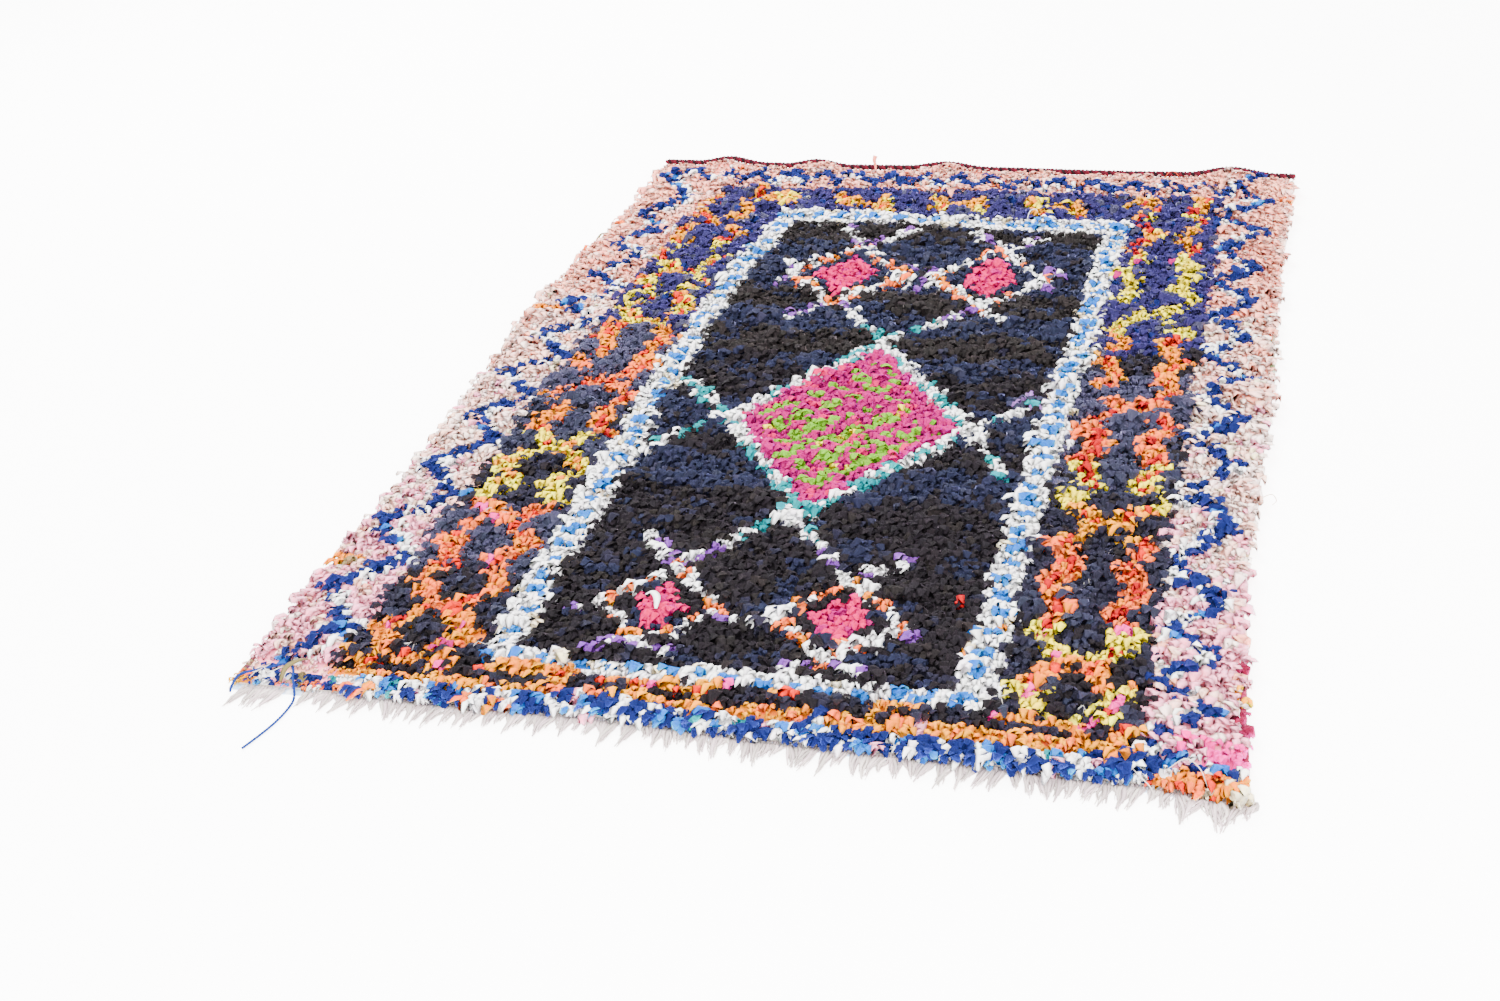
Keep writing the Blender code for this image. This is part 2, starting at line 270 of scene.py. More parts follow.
# Columns: distance from the near edge, shift of the edge along +X
left_waves = (
    (0.00, -0.010),
    (0.23, -0.007),
    (0.47, 0.001),
    (0.71, -0.001),
    (0.89, -0.007),
    (1.07, -0.013),
    (1.26, -0.022),
    (1.56, -0.013),
    (1.70, -0.001),
    (1.92, 0.015),
    (2.07, 0.011),
    (2.168, 0.005),
)
right_waves = (
    (0.00, 0.000),
    (0.23, -0.013),
    (0.47, -0.029),
    (0.71, -0.022),
    (0.89, -0.017),
    (1.20, -0.008),
    (1.32, -0.013),
    (1.68, -0.013),
    (1.92, -0.007),
    (2.168, 0.000),
)
# Columns: x, shift of the edge along +Y
near_waves = (
    (-0.75, 0.004),
    (-0.50, 0.009),
    (-0.14, 0.015),
    (0.10, 0.005),
    (0.34, 0.004),
    (0.59, -0.002),
    (0.75, -0.013),
)
# Columns: x of the middle, half its width, height of a ruffle in the far end
ruffles = (
    (-0.576, 0.085, 0.013),
    (-0.358, 0.080, 0.012),
    (-0.044, 0.095, 0.011),
    (0.610, 0.100, 0.014),
)
ruffle_depth = 0.110


def smooth_step(value):
    value = min(max(value, 0.0), 1.0)
    return value * value * (3.0 - 2.0 * value)


def from_table(table, at):
    """The second column's value for a place in the first, with smooth steps between."""
    if at <= table[0][0]:
        return table[0][1]
    for (start, low), (end, high) in zip(table, table[1:]):
        if at <= end:
            return low + (high - low) * smooth_step((at - start) / (end - start))
    return table[-1][1]


def left_edge(y):
    return -cloth_width / 2 + from_table(left_waves, y + cloth_length / 2)


def right_edge(y):
    return cloth_width / 2 + from_table(right_waves, y + cloth_length / 2)


def near_edge(x):
    return -cloth_length / 2 + from_table(near_waves, x)


def far_edge(x):
    return cloth_length / 2 + 0.003 * math.cos(9.0 * x)


def lift(x, y):
    """How far a ruffle of the far end raises the cloth from the floor."""
    ramp = smooth_step((y - cloth_length / 2 + ruffle_depth) / ruffle_depth)
    rise = 0.0
    for middle, half_width, height in ruffles:
        rise += height * smooth_step(1.0 - abs(x - middle) / half_width)
    return ramp * rise


def on_cloth(u, v):
    """The point of the cloth at u across and v along it, both from 0 to 1."""
    y = (v - 0.5) * cloth_length
    left, right = left_edge(y), right_edge(y)
    x = left + (right - left) * u
    near, far = near_edge(x), far_edge(x)
    return Vector((x, near + (far - near) * v, 0.0))


# Knot chart
# The design as the weaver ties it, knot by knot, from the near left corner. Lengths are
# in centimetres across and along the rug: a pink border with a blue zigzag, a dark
# border with a lattice of bright strokes, a white guard with blue dots, and a dark
# field with a medallion and four small diamonds.
tones = {
    "white": (246, 244, 244),
    "cream": (240, 216, 170),
    "salmon": (255, 148, 126),
    "pale pink": (255, 182, 164),
    "ivory pink": (255, 212, 198),
    "cool pink": (255, 142, 166),
    "hot pink": (222, 31, 127),
    "deep pink": (176, 0, 72),
    "magenta": (138, 4, 78),
    "red": (152, 8, 14),
    "flame": (193, 26, 8),
    "coral": (226, 86, 34),
    "orange": (221, 106, 10),
    "amber": (221, 127, 4),
    "yellow": (231, 202, 13),
    "lemon": (231, 218, 46),
    "green": (84, 134, 19),
    "teal": (10, 108, 113),
    "purple": (92, 45, 126),
    "lilac": (131, 87, 158),
    "royal": (14, 22, 70),
    "blue": (16, 81, 160),
    "indigo": (30, 26, 63),
    "slate": (43, 42, 60),
    "dusk": (31, 32, 46),
    "dark": (24, 23, 34),
    "navy": (21, 23, 39),
    "black": (19, 16, 19),
    "brown black": (23, 20, 20),
    "khaki": (104, 93, 57),
    "beige": (200, 162, 128),
    "wine": (95, 12, 38),
    "thread": (196, 186, 178),
}
rng = random.Random(20)
# Everything nearer to the left edge than this is the left side
midway = 75.0


def pick(*weighted):
    """One of the (tone, weight) pairs, by chance."""
    total = sum(weight for _, weight in weighted)
    at = rng.random() * total
    for tone, weight in weighted:
        at -= weight
        if at <= 0.0:
            return tone
    return weighted[-1][0]


def wobble(x, y, size, seed):
    """Smooth noise between about -1 and 1, whose patches have this size."""
    return noise.noise(Vector((x / size, y / size, seed)))


def triangle(phase):
    """A zigzag from -1 to 1, at -1 where the phase is a whole number."""
    return 1.0 - 4.0 * abs(phase - math.floor(phase) - 0.5)


def to_segment(x, y, start, end):
    """Distance from a knot to a straight run of knots."""
    dx, dy = end[0] - start[0], end[1] - start[1]
    t = ((x - start[0]) * dx + (y - start[1]) * dy) / (dx * dx + dy * dy)
    t = min(max(t, 0.0), 1.0)
    return math.hypot(x - start[0] - t * dx, y - start[1] - t * dy)


def diamond(x, y, centre, half):
    """1 on the diamond's outline, 0 at its centre."""
    return abs(x - centre[0]) / half[0] + abs(y - centre[1]) / half[1]


def bell(value, middle, width):
    """1 at the middle, falling away smoothly to both sides."""
    return math.exp(-(((value - middle) / width) ** 2))


def left_zigzag(y):
    drift = 5.3 * math.sin(math.tau * (y - 30.0) / 230.0) * smooth_step((214.0 - y) / 25.0)
    return 6.5 + 0.010 * y + 4.3 * triangle((y - 10.0 - drift) / 18.04)


def right_zigzag(y):
    drift = -8.0 * bell(y, 44.0, 20.0) - 2.2 * bell(y, 165.0, 25.0)
    return 139.8 + 4.0 * triangle((y - 10.6 - drift) / 16.75)


def row_at(rows, y):
    """What a table says for this distance along the rug. Its rows go from the far end to
    the near one, and each starts with the distance down to which it holds."""
    for lowest, *entries in rows:
        if y > lowest:
            break
    return entries


# Odd rags at the border's outer edge. Columns: from and to across, from and to along, tones
pink_patches = (
    (146.5, 155.0, 13.6, 18.4, (("wine", 8), ("cool pink", 1))),
    (146.5, 155.0, 26.9, 30.1, (("wine", 8), ("cool pink", 1))),
    (147.0, 155.0, 20.6, 23.4, (("amber", 3), ("cream", 1))),
    (145.0, 155.0, 134.0, 139.0, (("flame", 3), ("salmon", 1))),
    (139.0, 155.0, 4.0, 11.0, (("hot pink", 4), ("cool pink", 2), ("white", 0.5))),
    (-5.0, 4.0, 133.0, 136.2, (("orange", 3), ("khaki", 1))),
    (-5.0, 4.0, 34.2, 37.8, (("orange", 3), ("khaki", 1))),
)
# Columns: distance along the rug down to which the pink has these tones, and they
pink_bands = (
    (143.0, (("salmon", 9), ("pale pink", 1.5), ("coral", 0.1))),
    (107.0, (("pale pink", 7), ("salmon", 1.2), ("cream", 0.4), ("ivory pink", 1.2))),
    (71.0, (("ivory pink", 6), ("pale pink", 4), ("cream", 0.3), ("cool pink", 0.6))),
    (47.0, (("ivory pink", 3), ("pale pink", 3), ("cool pink", 3), ("white", 0.5))),
    (-20.0, (("cool pink", 8), ("pale pink", 2), ("salmon", 0.4), ("ivory pink", 0.6))),
)


def pink_ground(x, y):
    for left, right, near, far, weighted in pink_patches:
        if left < x < right and near < y < far:
            return pick(*weighted)
    (weighted,) = row_at(pink_bands, y + 6.0 * wobble(x, y, 14.0, 3.0))
    return pick(*weighted)


def pink_border(x, y):
    """Pink with a blue zigzag, flecked with white along one side."""
    wave_x = x + 0.5 * wobble(x, y, 3.0, 1.0)
    wave_y = y + 0.5 * wobble(x, y, 3.0, 2.0)
    if y > 203.5 and 10.0 < x < 139.0:
        middle = 210.6 - 0.009 * x
        off = wave_y - middle - 2.9 * triangle(wave_x / 8.0 + 0.25)
        if abs(off) < 1.9:
            return pick(("royal", 9), ("white", 1.0), (pink_ground(x, y), 0.5))
        if -3.8 < off < 0.0:
            return pick(("white", 2.0), (pink_ground(x, y), 5))
        return pink_ground(x, y)
    middle = left_zigzag(wave_y) if x < midway else right_zigzag(wave_y)
    off = wave_x - middle
    if abs(off) < 1.6:
        return pick(("royal", 9), ("white", 1.2), ("blue", 0.8), (pink_ground(x, y), 0.3))
    if 0.0 < off * (1 if x < midway else -1) < 3.4:
        return pick(("white", 4), (pink_ground(x, y), 3))
    return pink_ground(x, y)


# Columns: distance along the rug down to which the lattice's ground has these tones, and
# they: indigo at the far end, then slate, then nearly black
left_ground = (
    (126.5, (("indigo", 8), ("royal", 0.6), ("slate", 1.4))),
    (96.5, (("slate", 7), ("dusk", 2))),
    (72.5, (("dusk", 6), ("slate", 2), ("black", 1))),
    (55.5, (("dark", 6), ("black", 2))),
    (36.0, (("slate", 5), ("dusk", 3))),
    (-20.0, (("dark", 4), ("black", 4), ("dusk", 1.5))),
)
right_ground = (
    (126.5, (("indigo", 8), ("royal", 0.6), ("slate", 1.4))),
    (117.0, (("black", 4), ("dark", 2))),
    (96.5, (("slate", 7), ("dusk", 2))),
    (72.5, (("dusk", 6), ("slate", 2), ("black", 1))),
    (55.5, (("dark", 6), ("black", 2))),
    (36.0, (("dark", 6), ("dusk", 3))),
    (-20.0, (("dark", 4), ("black", 4), ("dusk", 1.5))),
)
# Columns: distance along the rug down to which the strokes have these tones, then the
# tones of the strokes and of their cores
left_strokes = (
    (172.0, ("amber", "orange"), ("flame", "red")),
    (128.0, ("yellow", "amber"), ("flame", "orange")),
    (112.0, ("orange", "amber"), ("flame", "red")),
    (95.5, ("coral", "orange"), ("flame", "red")),
    (83.0, ("orange", "coral"), ("red", "flame")),
    (70.0, ("yellow", "amber"), ("orange", "flame")),
    (58.5, ("yellow", "lemon"), ("orange", "amber")),
    (24.5, ("coral", "orange"), ("flame", "hot pink")),
    (16.5, ("orange", "amber"), ("hot pink", "red")),
    (0.0, ("orange", "coral"), ("magenta", "purple")),
)
right_strokes = (
    (170.5, ("amber", "yellow"), ("red", "flame")),
    (161.0, ("yellow", "lemon"), ("magenta", "red")),
    (134.0, ("yellow", "lemon"), ("yellow", "orange")),
    (115.0, ("orange", "amber"), ("flame", "orange")),
    (84.5, ("coral", "orange"), ("red", "flame")),
    (70.0, ("yellow", "amber"), ("red", "flame")),
    (60.0, ("amber", "orange"), ("flame", "orange")),
    (36.0, ("coral", "orange"), ("red", "flame")),
    (27.0, ("yellow", "lemon"), ("hot pink", "red")),
    (20.5, ("orange", "coral"), ("flame", "orange")),
    (12.0, ("yellow", "lemon"), ("hot pink", "red")),
    (0.0, ("orange", "amber"), ("flame", "orange")),
)


def lattice_ground(x, y):
    rows = left_ground if x <= midway else right_ground
    (weighted,) = row_at(rows, y + 4.0 * wobble(x, y, 16.0, 5.0))
    return pick(*weighted)


def stroke_tone(rows, y, in_core):
    outer, core = row_at(rows, y)
    first, second = core if in_core else outer
    return pick((first, 6), (second, 1.6), (outer[0], 0.6))


# The zigzags' middles on the left and the right, how far they reach from them, and the
# length of a turn
lattice_middles = (23.6, 124.2)
lattice_reach = 7.0
lattice_turn = 13.03


def lattice_border(x, y):
    """Two mirrored zigzags of bright strokes. They meet at every second turn on the left
    side and at every third one on the right, and keep apart at the others."""
    wave_x = x + 1.2 * wobble(x, y, 4.0, 7.0)
    wave_y = y + 1.2 * wobble(x, y, 4.5, 8.0)
    if y > lattice_far_start and 31.0 < x < 115.0:
        return far_lattice(wave_x, wave_y, x, y)
    on_left = x < midway
    middle = lattice_middles[0] if on_left else lattice_middles[1]
    phase = (wave_y - 12.8) / lattice_turn
    turn = math.floor(phase + 0.5)
    meets = turn % 2 == 1 if on_left else turn % 3 == 1
    inner = 1.6 if meets else 4.0
    offset = inner + (lattice_reach - inner) * (0.5 + 0.5 * triangle(phase))
    off = abs(abs(wave_x - middle) - offset)
    thick = 2.4 - 0.004 * max(y - 90.0, 0.0)
    worn = wobble(x, y, 4.0, 18.0) > 0.46 - 0.0010 * y
    if off < thick and y > 9.0 and not worn:
        rows = left_strokes if on_left else right_strokes
        return stroke_tone(rows, wave_y, off < 0.9 and rng.random() < 0.55)
    return lattice_ground(x, y)


# The far side's motifs: distance from one to the next, and their middle along the rug
motif_pitch = 22.0
motif_middle = 196.3


def far_lattice(wave_x, wave_y, x, y):
    """Pairs of leaning strokes, each joined by a short bar."""
    phase = (wave_x - 33.0) / motif_pitch + 0.5
    across = (phase - math.floor(phase) - 0.5) * motif_pitch
    height = wave_y - motif_middle + 0.012 * (x - midway)
    lean = abs(across) - 4.6 - 0.35 * height * (1.0 if across < 0 else -0.6)
    if abs(lean) < 2.1 and abs(height) < 4.6:
        core = abs(lean) < 0.9 and rng.random() < 0.4
        return pick(("orange", 3), ("flame", 2)) if core else pick(("amber", 5), ("yellow", 3))
    if abs(height) < 1.3 and abs(across) < 5.0:
        return pick(("amber", 4), ("orange", 2))
    return lattice_ground(x, y)


# Distance from dot to dot along the guard
dot_pitch = 4.85


def guard(x, y):
    """White, with a blue dot every five centimetres along its middle."""
    at_far_end = y > 182.0
    at_near_end = y < 17.5
    if at_far_end:
        off = y - from_table(guard_end, x) + 3.4
    elif at_near_end:
        off = 1.4 * (y - 14.4)
    elif x < midway:
        off = x - from_table(guard_place, y) - 2.9
    else:
        off = x - from_table(guard_right, y) + 2.8
    along_side = x if at_far_end or at_near_end else y
    dot = abs((along_side / dot_pitch) % 1.0 - 0.5) * dot_pitch
    if abs(off) < 1.4 and dot < (1.35 if at_far_end else 1.15):
        return "blue"
    if 34.0 > y > 26.0 and x > 111.5 and rng.random() < 0.08:
        return "orange"
    return pick(("white", 12), ("cream", 0.8))


# Half the breadth of an arm or a cross
arm_half = 1.12
# The medallion's far and near tips, where the diamonds' arms meet and turn teal
medallion_tips = (127.5, 60.4)
# Columns: centre, half sizes of the pink heart, half sizes of the outline, then the arms,
# each from where it leaves the outline to where it ends
diamonds = (
    ((60.0, 156.6), (6.8, 10.2), (12.6, 14.3), (
        ((60.5, 171.0), (54.0, 182.0)),
        ((61.5, 171.0), (69.6, 181.6)),
        ((60.0, 143.0), (52.3, 134.6)),
        ((60.8, 143.0), (73.8, 127.5)),
        ((47.8, 156.6), (46.0, 162.1)),
        ((47.8, 156.6), (46.2, 151.5)),
        ((72.3, 156.6), (73.8, 162.0)),
        ((72.3, 156.6), (73.6, 152.0)),
    )),
    ((90.2, 157.2), (6.0, 9.4), (11.7, 14.2), (
        ((91.0, 171.0), (84.2, 180.6)),
        ((92.0, 171.0), (99.8, 179.8)),
        ((90.0, 143.0), (75.4, 127.5)),
        ((90.0, 143.0), (95.8, 137.0)),
        ((78.4, 157.0), (77.2, 162.0)),
        ((78.4, 157.0), (77.0, 152.0)),
        ((101.8, 157.0), (103.4, 161.5)),
        ((101.8, 157.0), (102.6, 152.0)),
    )),
    ((58.3, 31.4), (4.4, 6.4), (9.6, 10.8), (
        ((57.6, 42.8), (49.5, 51.7)),
        ((57.6, 42.8), (71.5, 60.4)),
        ((57.8, 21.4), (51.6, 17.9)),
        ((58.2, 21.4), (63.3, 19.0)),
        ((48.9, 30.4), (45.2, 29.2)),
        ((67.8, 30.4), (70.8, 28.6)),
    )),
    ((87.4, 31.4), (5.6, 6.4), (10.0, 10.8), (
        ((86.4, 42.4), (95.6, 49.6)),
        ((86.4, 42.4), (71.9, 60.4)),
        ((86.8, 21.4), (82.0, 17.8)),
        ((87.2, 21.4), (93.8, 18.1)),
        ((77.5, 30.6), (74.6, 29.2)),
        ((97.3, 30.6), (100.2, 28.2)),
    )),
)
medallion_centre = (74.4, 93.0)
medallion_heart = (20.6, 30.0)
medallion_rim = (23.6, 34.0)
# Crosses at the medallion's left and right corners, each arm from the corner outwards
medallion_arms = (
    ((50.6, 93.6), (40.3, 106.1)),
    ((50.6, 93.6), (40.8, 78.9)),
    ((97.6, 94.0), (106.8, 103.6)),
    ((97.6, 94.0), (104.8, 76.3)),
)
# Columns: distance along the rug down to which the field has this colour, and it
ground_bands = (
    (173.3, "brown black"),
    (149.8, "navy"),
    (138.9, "brown black"),
    (129.2, "navy"),
    (119.5, "brown black"),
    (112.3, "navy"),
    (100.2, "black"),
    (86.9, "navy"),
    (78.4, "black"),
    (67.5, "navy"),
    (0.0, "black"),
)


def field_ground(x, y):
    """Rows of black, brown and navy rags, as they came to hand."""
    if math.hypot((x - 105.5) / 3.5, (y - 104.5) / 3.0) < 1.0:
        return pick(("slate", 5), ("lilac", 1), ("dusk", 2))
    y += 2.6 * wobble(x, y, 12.0, 9.0)
    (tone,) = row_at(ground_bands, y)
    patch = wobble(x, 2.6 * y, 9.0, 10.0)
    if tone == "navy":
        if x < 60.0 and 112.0 < y < 120.0:
            return pick(("black", 4), ("navy", 2))
        return pick(("navy", 7), ("dusk", 1.5), ("black", 2.5 if patch < 0.0 else 0.8))
    if patch > 0.28:
        return pick(("navy", 6), (tone, 2))
    return pick((tone, 9), ("dark", 1.3), ("brown black", 2))


# Rows of green dashes in the medallion, and the distance from dash to dash
dash_row = 3.75
dash_pitch = 7.5


def medallion_tone(x, y):
    """Magenta with staggered green dashes."""
    rows_up = (y - 74.0) / dash_row
    row = math.floor(rows_up)
    along = (x - 73.4 + (dash_pitch / 2 if row % 2 else 0.0)) / dash_pitch
    dash = abs(along - math.floor(along) - 0.5) * dash_pitch
    in_row = abs(rows_up - row - 0.5) * dash_row
    if dash < 2.2 and in_row < 1.35 and diamond(x, y, medallion_centre, medallion_heart) < 0.86:
        return pick(("green", 9), ("yellow", 0.5), ("magenta", 0.8))
    return pick(("magenta", 9), ("deep pink", 2.5))


# Single odd rags in the field. Columns: places across and along, and their tones
specks = (
    (103.1, 75.6, "red"),
    (104.4, 38.7, "red"),
    (107.4, 25.6, "orange"),
)


def field(x, y):
    """The medallion and its crosses, the four small diamonds, and the ground's rows."""
    wave_x = x + 0.7 * wobble(x, y, 2.6, 11.0)
    wave_y = y + 0.7 * wobble(x, y, 2.6, 12.0)
    if diamond(wave_x, wave_y, medallion_centre, medallion_heart) < 1.0:
        return medallion_tone(wave_x, wave_y)
    if diamond(wave_x, wave_y, medallion_centre, medallion_rim) < 1.02:
        return pick(("white", 7), ("teal", 3.4))
    for start, end in medallion_arms:
        if to_segment(wave_x, wave_y, start, end) < arm_half:
            return pick(("white", 6), ("teal", 4))
    for centre, heart, rim, arms in diamonds:
        inside = diamond(wave_x, wave_y, centre, rim)
        edge = rim[0] * rim[1] / math.hypot(*rim)
        if diamond(wave_x, wave_y, centre, heart) < 1.0:
            return pick(("deep pink", 10), ("magenta", 1.0))
        if abs(inside - 1.0) * edge < 1.22:
            return pick(("white", 6), ("coral", 3.2), ("orange", 1.2))
        for start, end in arms:
            if to_segment(wave_x, wave_y, start, end) < arm_half:
                teal = end[1] in medallion_tips and abs(wave_y - end[1]) < 9.0
                return pick(("white", 6), ("teal" if teal else "purple", 4.2))
    for across, along, tone in specks:
        if math.hypot(x - across, y - along) < 0.9:
            return tone
    if x > 97.0 and 18.5 < y < 24.0 and rng.random() < 0.06:
        return pick(("khaki", 3), ("white", 1), ("yellow", 1))
    return field_ground(x, y)


def near_bands(x, y):
    """Bands of the near end, from the field outwards: orange patches on black, a dark
    row, an amber one, then blue and white dashes."""
    blob = wobble(x, y, 4.6, 14.0)
    if y > 10.4:
        if blob > -0.08:
            return pick(("orange", 4), ("amber", 4), ("flame", 1.5), ("hot pink", 0.8))
        return pick(("black", 5), ("dark", 3))
    if y > 8.3:
        return pick(("orange", 3), ("amber", 2)) if blob > 0.2 else pick(("black", 5), ("dark", 3))
    if y > 5.8:
        if blob < -0.32:
            return pick(("cool pink", 2), ("royal", 2), ("white", 1))
        return pick(("amber", 6), ("orange", 4), ("coral", 1))
    if x > 137.0 and y < 3.6:
        if x < 145.0:
            return pick(("flame", 4), ("orange", 4), ("coral", 2))
        return pick(("orange", 3), ("cream", 3))
    if x < 1.6 and y < 3.0:
        return "amber"
    if math.hypot(x - 11.4, y - 2.4) < 1.6:
        return "coral"
    if math.hypot(x - 8.4, y - 3.6) < 1.4:
        return "khaki"
    dash = wobble(x + 0.5 * y, 0.35 * y, 1.9, 15.0)
    if dash > -0.10:
        return pick(("royal", 10), ("blue", 2), ("teal", 0.3))
    if dash > -0.34 or x > 60.0:
        return pick(("white", 9), ("blue", 0.4), ("cool pink", 0.9))
    return pick(("coral", 5), ("orange", 1), ("white", 2), ("cool pink", 0.6))


# Columns: distance along the rug, distance of a border's side from the left edge
pink_width = ((0.0, 12.4), (30.0, 12.8), (100.0, 13.2), (150.0, 14.6), (172.0, 15.6), (204.0, 18.6))
guard_place = ((0.0, 35.2), (30.0, 34.6), (70.0, 33.4), (110.0, 32.8), (150.0, 33.2), (188.0, 36.6))
guard_right = (
    (0.0, 113.3),
    (40.0, 113.3),
    (70.0, 113.8),
    (100.0, 114.3),
    (130.0, 114.9),
    (188.0, 116.0),
)
# Columns: distance from the left edge, distance of the guard's far side along the rug
guard_end = ((30.0, 190.8), (60.0, 190.6), (120.0, 188.6))
# Where the near bands end beside the pink border and between its sides
near_bands_end = 6.0
near_bands_inner_end = 12.6
# Where the lattice ends on the right, where its far side starts, and where it ends
lattice_right_end = 134.4
lattice_far_start = 186.0
lattice_far_end = 204.2
# Breadths of the guard on the left, on the right and at the far end, and where it ends
guard_left_width = 5.4
guard_right_width = 5.6
guard_far_width = 6.8
guard_near_end = 16.2
# The field is two pieces, near and far, that meet here
field_middle = 100.0


def chart(x, y):
    """The tone of the knot at this place, and the part of the design that it is in."""
    wave_x = x + 0.3 * wobble(x, y, 3.5, 16.0)
    wave_y = y + 0.4 * wobble(x, y, 3.5, 17.0)
    side = "left" if x < midway else "right"
    in_middle = from_table(pink_width, y) < wave_x < lattice_right_end
    if wave_y < near_bands_end or (wave_y < near_bands_inner_end and in_middle):
        return near_bands(x, wave_y), "near_bands"
    if wave_y > lattice_far_end:
        return pink_border(x, y), "pink_far"
    if not in_middle:
        return pink_border(x, y), "pink_" + side
    guard_left = from_table(guard_place, y)
    guard_far = from_table(guard_end, x)
    guard_outer = from_table(guard_right, y)
    if not guard_left < wave_x < guard_outer or wave_y > guard_far:
        part = "far" if wave_y > lattice_far_start else side
        return lattice_border(x, y), "lattice_" + part
    in_field = guard_left + guard_left_width < wave_x < guard_outer - guard_right_width
    if not in_field or wave_y > guard_far - guard_far_width or wave_y < guard_near_end:
        return guard(x, y), "guard"
    return field(x, y), "field_far" if y > field_middle else "field_near"


# The tufts lean to the near end, so the knots of a row lie towards its far side
row_start = 0.86
# How far the design that shows lies from the knots that make it, across and along
design_shift = (0.7, -0.8)
# Share of the knots outside the field that have a loose thread
thread_share = 0.006
# More knots at the very edge of the first row, whose tufts hang over the web
edge_row_start = 0.26
edge_row_shift = 1.1
knots = []
extras = []
for row in range(knots_along):
    for column in range(knots_across):
        place = on_cloth((column + 0.5) / knots_across, (row + row_start) / knots_along)
        across = 100.0 * (place.x + cloth_width / 2)
        along = 100.0 * (place.y + cloth_length / 2)
        tone, part = chart(across - design_shift[0], along - design_shift[1])
        knots.append((column, row, place, tone, part))
        if rng.random() < thread_share and not part.startswith("field"):
            extras.append((column, row, place, "thread", part))
        if row == 0:
            place = on_cloth((column + 0.5) / knots_across, edge_row_start / knots_along)
            tone, _ = chart(across, along - edge_row_shift)
            extras.append((column, row, place, tone, part))


# Ground mesh
# The cloth itself, a closed sheet with a face for each knot above and below, so that
# the backs of the knots make the same design underneath. It is made of cotton, woven
# with the knots, and its sides end in the selvedges.
cloth_inset = 0.0105
underside_height = 0.0004
underside_shade = 0.90
cloth_edge_tone = srgb(196, 184, 172)


def ground_cloth():
    """The closed sheet, with each knot's tone on its faces, duller underneath."""
    bm = bmesh.new()
    tone_layer = bm.faces.layers.float_color.new("tone")
    levels = []
    for height in (ground_thickness, underside_height):
        grid = {}
        for row in range(knots_along + 1):
            for column in range(knots_across + 1):
                u, v = column / knots_across, row / knots_along
                place = on_cloth(u, v)
                place.x += (0.5 - u) * 2.0 * cloth_inset
                place.z = height + lift(place.x, place.y)
                grid[row, column] = bm.verts.new(place)
        levels.append(grid)
    top, under = levels
    for column, row, _, tone, _ in knots:
        corners = ((row, column), (row, column + 1), (row + 1, column + 1), (row + 1, column))
        red, green, blue, _ = srgb(*tones[tone])
        for grid, shade in ((top, 1.0), (under, underside_shade)):
            face = bm.faces.new([grid[corner] for corner in corners])
            face[tone_layer] = (shade * red, shade * green, shade * blue, 1.0)
    rim = [(0, column) for column in range(knots_across)]
    rim += [(row, knots_across) for row in range(knots_along)]
    rim += [(knots_along, column) for column in range(knots_across, 0, -1)]
    rim += [(row, 0) for row in range(knots_along, 0, -1)]
    for here, after in zip(rim, rim[1:] + rim[:1]):
        face = bm.faces.new((top[here], under[here], under[after], top[after]))
        face[tone_layer] = cloth_edge_tone
    return bm


cotton = fibre_material("knotted_cotton", 700.0, 0.0006)
ground = finish_mesh("ground_cloth", ground_cloth(), cotton, smooth=False)
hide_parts("pile")

# Rag tufts
# Strips of worn clothing, knotted into the ground and cut, with no two alike. They lean
# to the near end and lie over each other like shingles. Each part of the design is one
# piece.
tufts_a_knot = 3
blade_steps = 3
# How far the torn end of a strip is longer or shorter in places
tear = 0.0030
# How deep in the knot a strip starts
root_depth = 0.002
# Columns: length, width, thickness, share of the width at the tip, sway
tuft_kinds = {
    "frayed": (0.0300, 0.0128, 0.0011, 0.62, 0.22),
    "leaf": (0.0300, 0.0114, 0.0014, 0.55, 0.22),
    "petal": (0.0300, 0.0112, 0.0017, 0.50, 0.24),
    "loose_thread": (0.0330, 0.0010, 0.0007, 0.60, 0.90),
}
kind_order = list(tuft_kinds)
variants = 10
# Which kind the rags of each tone are. Those that aren't named are leaves
tone_kinds = dict.fromkeys(tones, "leaf")
for tone in ("cream", "salmon", "pale pink", "ivory pink", "cool pink"):
    tone_kinds[tone] = "frayed"
for tone in ("white", "amber", "orange", "coral", "flame", "red", "yellow", "lemon"):
    tone_kinds[tone] = "petal"
tone_kinds["thread"] = "loose_thread"


